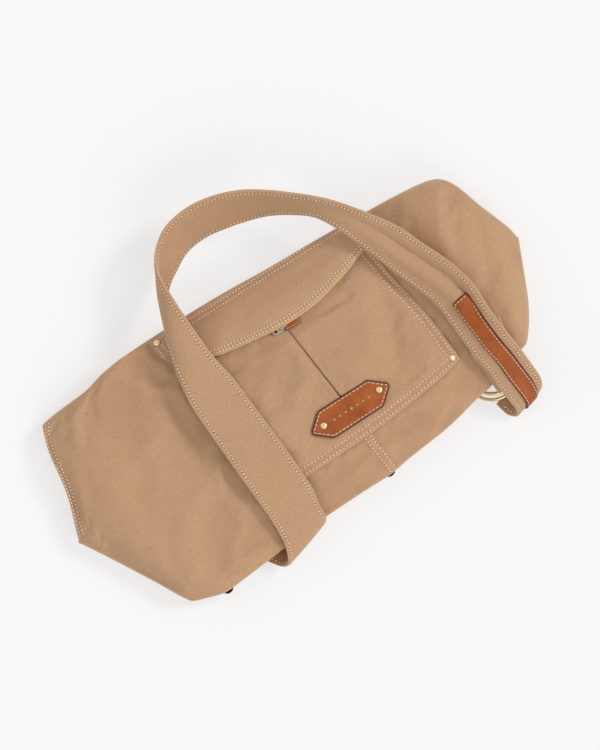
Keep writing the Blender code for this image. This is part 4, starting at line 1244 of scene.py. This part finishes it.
# even out the spacing along the centre line
mid = (E1 + E2) / 2
s = np.concatenate([[0], np.cumsum(np.linalg.norm(np.diff(mid, axis=0), axis=1))])
q = np.linspace(0, s[-1], NS)
E1 = np.stack([np.interp(q, s, E1[:, k]) for k in range(3)], 1)
E2 = np.stack([np.interp(q, s, E2[:, k]) for k in range(3)], 1)
tt = np.interp(q, s, tt)
SL = q
NW = 29
vv = np.linspace(0, 1, NW)
SP = E1[:, None, :] + (E2 - E1)[:, None, :] * vv[None, :, None]
SN = grid_normals(SP)
if SN[NS // 6, NW // 2, 2] < 0:
    SN = -SN
# keep the side that faces up on the left leg as side "a" all along
width = np.linalg.norm(E2 - E1, axis=1)
# soft bulge where the band rolls over at the upper left
roll = sm(10.8, 13.4, tt) * (1 - sm(15.8, 18.6, tt))
cross = np.sin(np.pi * vv ** 0.72) ** 0.9
bul = roll[:, None] * cross[None, :] * 6.2
SP = SP + SN * bul[:, :, None]
# slack valley running down the right shoulder into the corner of the patch
upr = np.sign(SN[:, NW // 2, 2])[:, None]
vl = sm(25.2, 28.4, tt) * (1 - sm(31.2, 32.4, tt))
vc = 0.60 + 0.10 * sm(27, 31.5, tt)
SP = SP + SN * (upr * vl[:, None] * (-2.8 * np.exp(-((vv[None, :] - vc[:, None]) / 0.10) ** 2)
                                     + 1.6 * np.exp(-((vv[None, :] - vc[:, None] + 0.26) / 0.13) ** 2)))[:, :, None]
cr = np.exp(-((tt - 31.0) / 0.7) ** 2)
SP = SP + SN * (upr * cr[:, None] * (-1.8 * np.exp(-((vv[None, :] - 0.70 - 0.10 * (tt[:, None] - 31.0)) / 0.045) ** 2)))[:, :, None]
# gentle waves across the band
wave = 0.35 * np.sin(SL / 23.0)[:, None] * np.cos(np.pi * (vv - 0.5))[None, :] + 0.25 * np.sin(SL / 9.0 + 1.0)[:, None] * (np.abs(vv - 0.5) * 2)[None, :] ** 2
SP = SP + SN * wave[:, :, None]
SN = grid_normals(SP)
if SN[NS // 6, NW // 2, 2] < 0:
    SN = -SN
T = 3.0
dmm = np.minimum(vv[None, :] * width[:, None], (1 - vv)[None, :] * width[:, None])
puff = 0.35 * sm(0, 6, dmm) * 0 + 0.0
groove = -0.35 * np.exp(-((dmm - 3.3) / 0.75) ** 2)
edge_round = -0.9 * np.exp(-(dmm / 0.9) ** 2)
half = T / 2 + groove + edge_round * 0.8
TOPS = SP + SN * half[:, :, None]
BOTS = SP - SN * half[:, :, None]


def band(name, A, Bt, mat, attrs=None):
    """Closed band between an upper and a lower grid of the same size."""
    nu, nv = A.shape[:2]
    V = np.concatenate([A.reshape(-1, 3), Bt.reshape(-1, 3)]) * MM
    N0 = nu * nv
    ii, jj = np.meshgrid(np.arange(nu - 1), np.arange(nv - 1), indexing="ij")
    a = (ii * nv + jj).reshape(-1)
    top = np.stack([a, a + nv, a + nv + 1, a + 1], 1)
    faces = top.tolist() + (top[:, ::-1] + N0).tolist()
    ring = [i * nv for i in range(nu)] + [(nu - 1) * nv + j for j in range(1, nv)] + \
           [i * nv + nv - 1 for i in range(nu - 2, -1, -1)] + [j for j in range(nv - 2, 0, -1)]
    m = len(ring)
    for k in range(m):
        a0, a1 = ring[k], ring[(k + 1) % m]
        faces.append([a0, a0 + N0, a1 + N0, a1])
    uv = arclen_uv((A + Bt) / 2).reshape(-1, 2)
    uv = np.concatenate([uv, uv]) * MM
    at = {k: np.concatenate([v.reshape(-1)] * 2) for k, v in (attrs or {}).items()}
    ob = make_obj(name, V, faces, mat, uv, at, 60)
    bm = bmesh.new()
    bm.from_mesh(ob.data)
    bmesh.ops.recalc_face_normals(bm, faces=bm.faces)
    if bm.calc_volume(signed=True) < 0:
        bmesh.ops.reverse_faces(bm, faces=bm.faces)
    bm.to_mesh(ob.data)
    bm.free()
    return ob


# painted shade inside the strap's folds at both ends, where the band turns under, and darker lines along its stitch
# rows
inside = 0.85 * (1 - sm(0.35, 1.2, tt)) + 0.25 * (1 - sm(1.0, 2.1, tt)) * sm(0.35, 1.0, tt)
inside2 = 0.55 * sm(len(ALL) - 2.6, len(ALL) - 1.6, tt)
sshade = np.clip((inside + inside2)[:, None] + 0.10 * np.exp(-((dmm - 3.3) / 0.9) ** 2), 0, 0.9)
strap = band("sling_strap", TOPS, BOTS, M_STRAP, {"wear": np.clip(1 - dmm / 1.3, 0, 1) * 0.5, "shade": sshade})
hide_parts("strap_main", "strap_fold_left", "strap_fold_right")


def strap_rows(A, Nn, v_mm, i0, i1, flip=1.0):
    """A stitch row on the strap at v_mm from each edge, for samples i0..i1."""
    out = []
    for side in (0, 1):
        v = v_mm / width[i0:i1]
        if side:
            v = 1 - v
        idx = np.arange(i0, i1).astype(float)
        p = sample_grid(A, idx, v * (NW - 1))
        n = sample_grid(Nn, idx, v * (NW - 1)) * flip
        out.append((p, n))
    return out


rows = strap_rows(TOPS, SN, 3.3, 4, NS - 4, 1.0) + strap_rows(BOTS, SN, 3.3, 4, NS - 4, -1.0)
sst = stitches("strap_stitches", rows, M_THREAD, pitch=3.1, length=2.0, radius=0.5, lift=0.14, needle_shade_r=0.5)
for o in (strap, sst):
    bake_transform(o)

# leather patch along the right leg and round its fold
t0 = 5 + 25.93
t1 = len(ALL) - 2.2
i0 = int(np.argmin(np.abs(tt - t0)))
i1 = int(np.argmin(np.abs(tt - t1)))
idx = np.arange(i0, i1 + 1).astype(float)
fine = np.linspace(i0, i1, (i1 - i0) * 2 + 1)
NPW = 21
va, vb = 0.325, 0.785
V0 = np.linspace(va, vb, NPW)
# which side of the band looks up on the right leg
up = 1.0 if SN[i0, NW // 2, 2] > 0 else -1.0
base = TOPS if up > 0 else BOTS
per_mm = NS / SL[-1]


def slant(v):
    """The patch's top edge runs down to one side and has rounded corners."""
    t_ = (v - va) / (vb - va)
    w_ = min(t_, 1 - t_) * 15.5
    r_ = 2.3
    rc = r_ - math.sqrt(max(0.0, r_ * r_ - max(0.0, r_ - w_) ** 2))
    return (3.0 * (1 - t_) + rc - 0.5 * math.sin(math.pi * t_)) * per_mm


lead = np.clip(1 - (fine - fine[0]) / (40 * per_mm), 0, 1) ** 1.5
PA = np.stack([sample_grid(base, fine + slant(v) * lead, np.full_like(fine, v * (NW - 1))) for v in V0], 1)
PNn = np.stack([sample_grid(SN, fine + slant(v) * lead, np.full_like(fine, v * (NW - 1))) for v in V0], 1) * up
pw = (vb - va) * np.interp(fine, np.arange(NS), width)
dv = np.minimum((V0 - va)[None, :], (vb - V0)[None, :]) / (vb - va) * pw[:, None]
ps = np.interp(fine, np.arange(NS), SL)
du = np.minimum(ps - ps[0], 99)[:, None]
dd = np.minimum(dv, du)
thick = 1.5 * np.clip(dd / 0.9, 0, 1) ** 0.45 + 0.08 - 0.28 * np.exp(-((dd - 1.9) / 0.55) ** 2)
PT = PA + PNn * (0.12 + thick[:, :, None])
PB = PA + PNn * 0.06
edge = np.clip(1 - (dd - 0.5) / 0.9, 0, 1)
patch = band("strap_patch_leather", PT, PB, M_LEATHER, {"edge": edge})
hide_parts("strap_leather_patch")
rows = []
for k in (0, 1):
    v = 1.9 / pw
    v = v if k == 0 else 1 - v
    ii = np.arange(len(fine)).astype(float)
    keep = (ps - ps[0]) > 1.9
    p = sample_grid(PT, ii[keep], (v * (NPW - 1))[keep])
    n = sample_grid(PNn, ii[keep], (v * (NPW - 1))[keep])
    rows.append((p, n))
ie = float(np.argmin(np.abs((ps - ps[0]) - 1.9)))
vs = np.linspace(1.9 / pw[0], 1 - 1.9 / pw[0], 10)
rows.append((sample_grid(PT, np.full(10, ie), vs * (NPW - 1)), sample_grid(PNn, np.full(10, ie), vs * (NPW - 1))))
pst = stitches("patch_stitches", rows, M_THREAD_L, pitch=3.3, length=2.35, radius=0.36, lift=0.14, slant=0.05, needle_shade_r=0)
for o in (patch, pst):
    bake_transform(o)

# doubled end of the strap under the right leg
j0 = int(np.argmin(np.abs(tt - (5 + 27.35))))
j1 = int(np.argmin(np.abs(tt - (5 + 30.4))))
sel = np.arange(j0, j1 + 1)
slide = sm(0, 0.35, np.linspace(0, 1, len(sel)))
off = np.stack([-3.6 * slide + 0.6, 0 * slide, 0 * slide], 1)[:, None, :]
under = SP[sel] + off - SN[sel] * up * 3.6
UN = SN[sel] * up
DA = under + UN * 1.3
DB = under - UN * 1.3
dbl = band("strap_end_layer", DA, DB, M_STRAP)
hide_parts("strap_doubled_end")
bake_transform(dbl)


# ============================================================ leather label
def label():
    cx, cy = 26.9, -65.3
    hx, hy, cut = 39.2, 13.0, 15.2
    lo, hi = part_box("leather_label")
    z0 = lo.z / MM if hasattr(lo, "z") else lo[2] / MM
    phi = math.atan2(hy, cut)
    corner_r = (3.2, 4.0, 4.0, 3.2, 4.0, 4.0)

    def outline(ins):
        """The rounded six-sided outline, drawn in by ins, always with the same points."""
        x1, y1 = hx - ins / math.sin(phi), hy - ins
        c1 = cut * y1 / hy
        hexa = [(-x1, 0), (-x1 + c1, -y1), (x1 - c1, -y1), (x1, 0), (x1 - c1, y1), (-x1 + c1, y1)]
        arcs = []
        for i, p in enumerate(hexa):
            a = Vector(hexa[i - 1])
            b = Vector(hexa[(i + 1) % 6])
            p = Vector(p)
            r = max(corner_r[i] - ins, 0.3)
            da = (a - p).normalized()
            db = (b - p).normalized()
            ang = da.angle(db)
            t = r / math.tan(ang / 2)
            c = p + (da + db).normalized() * (r / math.sin(ang / 2))
            s0 = p + da * t
            s1 = p + db * t
            a0 = math.atan2(s0.y - c.y, s0.x - c.x)
            a1 = math.atan2(s1.y - c.y, s1.x - c.x)
            d = (a1 - a0 + math.pi) % (2 * math.pi) - math.pi
            arcs.append([(c.x + r * math.cos(a0 + d * k / 8), c.y + r * math.sin(a0 + d * k / 8)) for k in range(9)])
        out = []
        for i in range(6):
            out += arcs[i]
            a, b = arcs[i][-1], arcs[(i + 1) % 6][0]
            n = 30 if i in (1, 4) else 11
            out += [(a[0] + (b[0] - a[0]) * k / n, a[1] + (b[1] - a[1]) * k / n) for k in range(1, n)]
        return np.array(out)

    m = len(outline(0.0))
    rings = []
    H = 2.0
    prof = [(0.3, 0.0), (0.0, 0.35), (0.0, 1.3), (0.25, 1.8), (0.8, 2.0), (1.3, 2.02), (1.75, 1.84), (2.1, 1.78),
            (2.45, 1.86), (3.0, 2.06), (3.5, 2.12), (3.8, 2.12), (4.2, 2.12)]
    V, E = [], []
    for ins, z in prof:
        q = outline(ins)
        V.append(np.column_stack([q[:, 0] + cx, q[:, 1] + cy, np.full(m, z0 + z)]))
        E.append(np.full(m, max(0.0, min(1.0, 1 - (ins - 0.6) / 0.9)) if z > 0 else 1.0))
    verts = np.concatenate(V)
    ed = np.concatenate(E)
    faces = []
    R = len(prof)
    for r in range(R - 1):
        for k in range(m):
            a = r * m + k
            b = r * m + (k + 1) % m
            faces.append((a, b, b + m, a + m))
    faces.append(tuple(range(m))[::-1])
    faces.append(tuple((R - 1) * m + k for k in range(m)))
    ob = make_obj("label_leather", verts * MM, faces, M_LEATHER, None, {"edge": ed}, 60)
    bm = bmesh.new()
    bm.from_mesh(ob.data)
    bmesh.ops.triangulate(bm, faces=[f for f in bm.faces if len(f.verts) > 4])
    bmesh.ops.recalc_face_normals(bm, faces=bm.faces)
    bm.to_mesh(ob.data)
    bm.free()
    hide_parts("leather_label")
    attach(ob, "root")
    row = outline(2.1)
    row = np.column_stack([row[:, 0] + cx, row[:, 1] + cy, np.full(m, z0 + 1.80)])
    row = np.concatenate([row, row[:1]])
    st = stitches("label_stitches", [(row, np.tile([0, 0, 1.0], (m + 1, 1)))], M_THREAD_L, pitch=3.6, length=2.7, radius=0.40, lift=0.14, slant=0.05, needle_shade_r=0)
    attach(st, "root")
    # plain stamped foil lozenges, in place of any lettering
    V, Fc = [], []
    for k in range(7):
        w_, h_ = (3.0, 2.3) if k != 3 else (3.6, 3.4)
        x_ = cx + 1.0 + (k - 3) * 5.6
        b0 = len(V)
        for (a, b) in ((-w_ / 2, 0), (0, -h_ / 2), (w_ / 2, 0), (0, h_ / 2)):
            V.append((x_ + a, cy + b, z0 + 2.08))
        for (a, b) in ((-w_ / 2, 0), (0, -h_ / 2), (w_ / 2, 0), (0, h_ / 2)):
            V.append((x_ + a * 0.9, cy + b * 0.9, z0 + 2.26))
        Fc += [(b0 + 3, b0 + 2, b0 + 1, b0), (b0 + 4, b0 + 5, b0 + 6, b0 + 7)]
        Fc += [(b0 + a, b0 + (a + 1) % 4, b0 + 4 + (a + 1) % 4, b0 + 4 + a) for a in range(4)]
    foil = make_obj("label_foil_lozenges", np.array(V) * MM, Fc, M_FOIL, smooth_angle=30)
    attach(foil, "root")
    return z0


LZ = label()


# ============================================================ turned metal
def turned(name, x, y, z, prof, mat, seg=48, body="root", node=None, tilt=None):
    verts, faces = [], []
    for r, h in prof:
        for k in range(seg):
            a = 2 * math.pi * k / seg
            verts.append((r * math.cos(a), r * math.sin(a), h))
    R = len(prof)
    for i in range(R - 1):
        for k in range(seg):
            a = i * seg + k
            b = i * seg + (k + 1) % seg
            faces.append((a, b, b + seg, a + seg))
    faces.append(tuple(range(seg))[::-1])
    faces.append(tuple((R - 1) * seg + k for k in range(seg)))
    V = np.array(verts)
    if tilt is not None:
        M = Vector((0, 0, 1)).rotation_difference(Vector(tilt)).to_matrix()
        V = V @ np.array(M).T
    V = V + np.array([x, y, z])
    ob = make_obj(name, V * MM, faces, mat, smooth_angle=60)
    bm = bmesh.new()
    bm.from_mesh(ob.data)
    bmesh.ops.recalc_face_normals(bm, faces=bm.faces)
    bm.to_mesh(ob.data)
    bm.free()
    if node:
        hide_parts(node)
    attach(ob, body)
    return ob


RIVET = [(2.3, -0.8), (2.75, -0.45), (2.92, -0.05), (2.9, 0.3), (2.7, 0.62), (2.35, 0.84), (1.9, 0.98), (1.4, 1.07),
         (0.9, 1.12), (0.4, 1.14), (0.05, 1.145)]
for nm, x in (("label_rivet_left", 0.9), ("label_rivet_right", 55.1)):
    turned("cap_" + nm, x, -64.8, LZ + 2.3, [(r * 0.90, h * 0.8) for r, h in RIVET], M_BRASS, node=nm)
for nm, x, y in (("pocket_rivet_lower_right", 121.2, -76.2), ("pocket_rivet_lower_left", -63.1, -88.4)):
    p, n = pocket_pt(np.array([x - 1.2]), np.array([y + 0.6]))
    turned("cap_" + nm, x - 1.2, y + 0.6, p[0, 2] + 0.35, [(r * 0.90, h * 0.85) for r, h in RIVET], M_BRASS_M, node=nm, tilt=(n[0] + np.array([0, 0, 1.0])))
for nm, x, y in (("flap_rivet_left", -76.9, 66.6), ("flap_rivet_right", 103.9, 58.3)):
    p, n = flap_pt(np.array([x]), np.array([y]))
    turned("cap_" + nm, x, y, p[0, 2] + 0.4, RIVET, M_BRASS, body="pocket_flap", node=nm, tilt=n[0])


def torus(name, centre, R, r, mat, body, node, seg=120, seg2=20, dent=0.0):
    verts, faces = [], []
    for i in range(seg):
        a = 2 * math.pi * i / seg
        for k in range(seg2):
            b = 2 * math.pi * k / seg2
            rr = R + r * math.cos(b)
            verts.append((centre[0] + rr * math.cos(a), centre[1] + rr * math.sin(a), centre[2] + r * math.sin(b)))
    for i in range(seg):
        for k in range(seg2):
            a = i * seg2 + k
            b = i * seg2 + (k + 1) % seg2
            c = ((i + 1) % seg) * seg2 + (k + 1) % seg2
            d = ((i + 1) % seg) * seg2 + k
            faces.append((a, d, c, b))
    ob = make_obj(name, np.array(verts) * MM, faces, mat, smooth_angle=80)
    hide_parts(node)
    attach(ob, body)
    return ob


torus("ring_lower_wire", (140.7, -104.5, 5.6), 21.7, 1.5, M_RING, "ring_lower", "ring_lower")
torus("ring_upper_wire", (143.4, -100.2, 9.0), 21.7, 1.5, M_RING, "ring_upper", "ring_upper")

# cloth tab that holds the rings, wrapped round them
tabp = [(-77.0, 12.0), (-80.0, 12.2), (-86.5, 11.9), (-88.7, 10.9), (-89.3, 9.4), (-89.35, 7.2), (-89.3, 5.0),
        (-88.7, 3.5), (-86.5, 2.4), (-80.0, 2.2), (-77.0, 2.2)]
tp = catmull(tabp, 60)
tv_ = np.linspace(-10, 10, 12)
TB = np.zeros((60, 12, 3))
for j, w_ in enumerate(tv_):
    TB[:, j, 0] = 142.5 + w_
    TB[:, j, 1] = tp[:, 0]
    TB[:, j, 2] = tp[:, 1] + 0.15 * math.cos(w_ / 3.0)
tn = grid_normals(TB)
rtab = band("ring_tab_cloth", TB + tn * 0.6, TB - tn * 0.6, M_STRAP)
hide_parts("ring_tab")
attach(rtab, "root")

# domed feet on the base
for nm in ("base_foot_left", "base_foot_centre"):
    o = nodes[nm]
    n_ = (o.matrix_world.to_3x3() @ Vector((0, 0, 1)))
    lo_, hi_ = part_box(nm)
    c_ = (Vector(lo_) + Vector(hi_)) / 2 / MM
    x_ = -138.5 if nm.endswith("left") else 25.2
    yb_ = float(y_bot(x_)) + 4.6
    gy_ = float(back_z(np.array([x_]), np.array([yb_ + 2.0]))[0] - back_z(np.array([x_]), np.array([yb_ - 2.0]))[0]) / 4
    n_ = Vector((0, gy_, -1)).normalized()
    c_ = c_ - n_ * 1.6 + Vector((0.6, -2.6, 0.3)) if x_ > 0 else c_ - n_ * 1.6 + Vector((0, -3.4, 0.3))
    turned("dome_" + nm, c_.x, c_.y, c_.z, [(3.2, -0.2), (4.5, 0.0), (4.8, 0.35), (4.8, 0.8), (4.5, 1.6), (3.9, 2.3), (3.0, 2.85),
           (1.8, 3.2), (0.05, 3.4)], M_GUN, node=nm, tilt=n_)

# ============================================================ leather tab on the zip pull
def rounded_rect(hx, hy, r, n=6):
    out = []
    for cx, cy, a0 in ((hx - r, hy - r, 0), (-hx + r, hy - r, 90), (-hx + r, -hy + r, 180), (hx - r, -hy + r, 270)):
        for k in range(n + 1):
            a = math.radians(a0 + 90 * k / n)
            out.append((cx + r * math.cos(a), cy + r * math.sin(a)))
    return np.array(out)


def pull_tab():
    lo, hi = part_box("zip_pull_tab")
    z0, z1 = lo[2] / MM, hi[2] / MM
    cx, cy = 25.2, 19.5
    th = math.radians(-2.5)
    V, E = [], []
    prof = [(0.35, 0.0), (0.0, 0.18), (0.0, 0.75), (0.2, 0.93), (0.5, 1.0), (0.8, 0.97), (1.05, 0.93), (1.3, 0.97), (1.6, 1.0)]
    for ins, h in prof:
        q = rounded_rect(6.9 - ins, 2.9 - ins, max(0.2, 1.5 - ins))
        V.append(np.column_stack([cx + q[:, 0] * math.cos(th) - q[:, 1] * math.sin(th),
                                  cy + q[:, 0] * math.sin(th) + q[:, 1] * math.cos(th), np.full(len(q), z0 + (z1 - z0) * h)]))
        E.append(np.full(len(q), np.clip(1 - (ins - 0.15) / 0.5, 0, 1) if h > 0 else 1.0))
    m = len(V[0])
    faces = [(r * m + k, r * m + (k + 1) % m, (r + 1) * m + (k + 1) % m, (r + 1) * m + k) for r in range(len(prof) - 1) for k in range(m)]
    faces.append(tuple(range(m))[::-1])
    faces.append(tuple((len(prof) - 1) * m + k for k in range(m)))
    ob = make_obj("pull_tab_leather", np.concatenate(V) * MM, faces, M_LEATHER, None, {"edge": np.concatenate(E)}, 60)
    bm = bmesh.new()
    bm.from_mesh(ob.data)
    bmesh.ops.recalc_face_normals(bm, faces=bm.faces)
    bm.to_mesh(ob.data)
    bm.free()
    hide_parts("zip_pull_tab")
    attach(ob, "pull_tab")
    q = rounded_rect(6.9 - 1.05, 2.9 - 1.05, 0.5)
    row = np.column_stack([cx + q[:, 0] * math.cos(th) - q[:, 1] * math.sin(th), cy + q[:, 0] * math.sin(th) + q[:, 1] * math.cos(th),
                           np.full(len(q), z0 + (z1 - z0) * 0.93)])
    row = np.concatenate([row, row[:1]])
    st = stitches("pull_tab_stitches", [(row, np.tile([0, 0, 1.0], (len(row), 1)))], M_THREAD_L, pitch=2.0, length=1.4, radius=0.24, lift=0.06, slant=0, needle_shade_r=0)
    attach(st, "pull_tab")


pull_tab()


def refined(node, name, mat, body, bevel=0.0, subsurf=0, angle=35):
    """A finer copy of a small CAD part: eased edges or a rounded cloth form."""
    src = nodes[node]
    me = src.data.copy()
    me.name = name
    me.transform(src.matrix_world)
    me.materials.clear()
    me.materials.append(mat)
    ob = link(bpy.data.objects.new(name, me))
    if bevel:
        b_ = ob.modifiers.new("bevel", "BEVEL")
        b_.width = bevel * MM
        b_.segments = 2
        b_.limit_method = "ANGLE"
        b_.angle_limit = math.radians(angle)
        b_.use_clamp_overlap = True
    if subsurf:
        m_ = ob.modifiers.new("sub", "SUBSURF")
        m_.levels = m_.render_levels = subsurf
        m_.boundary_smooth = "PRESERVE_CORNERS"
    dg = bpy.context.evaluated_depsgraph_get()
    fin = bpy.data.meshes.new_from_object(ob.evaluated_get(dg))
    ob.modifiers.clear()
    old = ob.data
    ob.data = fin
    bpy.data.meshes.remove(old)
    fin.name = name
    for p_ in fin.polygons:
        p_.material_index = 0
    fin.shade_smooth()
    fin.set_sharp_from_angle(angle=math.radians(angle))
    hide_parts(node)
    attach(ob, body)
    return ob


# ============================================================ small parts and what stays as it is
body_of_node = {}
for bn_, bo_ in frame["bodies"].items():
    for nn_, no_ in nodes.items():
        if no_.parent is bo_:
            body_of_node[nn_] = bn_
for nm, new, mt, sl in (("zip_slider", "slider_body", M_NICKEL, "nickel"), ("zip_pull_link", "pull_link_metal", M_NICKEL, "nickel"),
                        ("zip_tab_eye", "tab_eye_metal", M_NICKEL, "nickel")):
    refined(nm, new, mt, body_of_node[nm], bevel=0.22)
for nm, new, mt, sl in (("zip_tape_lower", "zip_tape_cloth_lower", M_TAPE, "zip_tape"), ("zip_tape_upper", "zip_tape_cloth_upper", M_TAPE, "zip_tape"),
                        ("pocket_pleat_underlay", "pleat_underlay_cloth", M_CANVAS_OBJ, "canvas")):
    refined(nm, new, mt, body_of_node[nm], subsurf=1)
for nm, mt in (("zip_teeth_lower", M_NICKEL), ("zip_teeth_upper", M_NICKEL), ("zip_stop_left", M_NICKEL),
               ("zip_stop_right", M_NICKEL), ("snap_stud", M_NICKEL), ("snap_socket", M_NICKEL)):
    o = nodes[nm]
    if not o.material_slots:
        o.data.materials.append(mt)
    else:
        for s_ in o.material_slots:
            s_.link = "OBJECT"
            s_.material = mt

# the side seams are backtacked where they reach the points of the two ends
for k_, (i_, dx_) in enumerate(((0, 1.0), (NU - 1, -1.0))):
    c_ = (F[i_].mean(axis=0) + B[i_].mean(axis=0)) / 2
    turned("corner_backtack_%d" % (k_ + 1), float(c_[0]) + dx_, float(c_[1]), float(c_[2]),
           [(0.05, -1.7), (0.9, -1.5), (1.6, -0.8), (1.8, 0.0), (1.6, 0.8), (0.9, 1.5), (0.05, 1.7)], M_CANVAS_OBJ, seg=24, body="root")

# dark discs in the holes of the pull's link: painted shade for the dark see-through holes
lo_, hi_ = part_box("zip_pull_link")
zt_ = hi_[2] / MM
for k_, (x_, y_) in enumerate(((10.0, 20.9), (14.35, 20.7))):
    turned("link_hole_shade_%d" % (k_ + 1), x_, y_, zt_ - 0.05, [(1.25, -0.5), (1.25, -0.1), (1.1, 0.06), (0.85, 0.1), (0.6, 0.0), (0.05, -0.05)], M_GUN,
           seg=28, body="zip_pull")

# ============================================================ floor
fm, nt, b = new_mat("paper_floor")
b.inputs["Base Color"].default_value = (0.34, 0.34, 0.34, 1)
b.inputs["Emission Color"].default_value = (1, 1, 1, 1)
b.inputs["Emission Strength"].default_value = 0.60
b.inputs["Roughness"].default_value = 0.95
b.inputs["Specular IOR Level"].default_value = 0.05
me = bpy.data.meshes.new("floor")
R = 12.0
me.from_pydata([(-R, -R, -0.0004), (R, -R, -0.0004), (R, R, -0.0004), (-R, R, -0.0004)], [], [(0, 1, 2, 3)])
me.materials.append(fm)
floor = link(bpy.data.objects.new("floor", me))
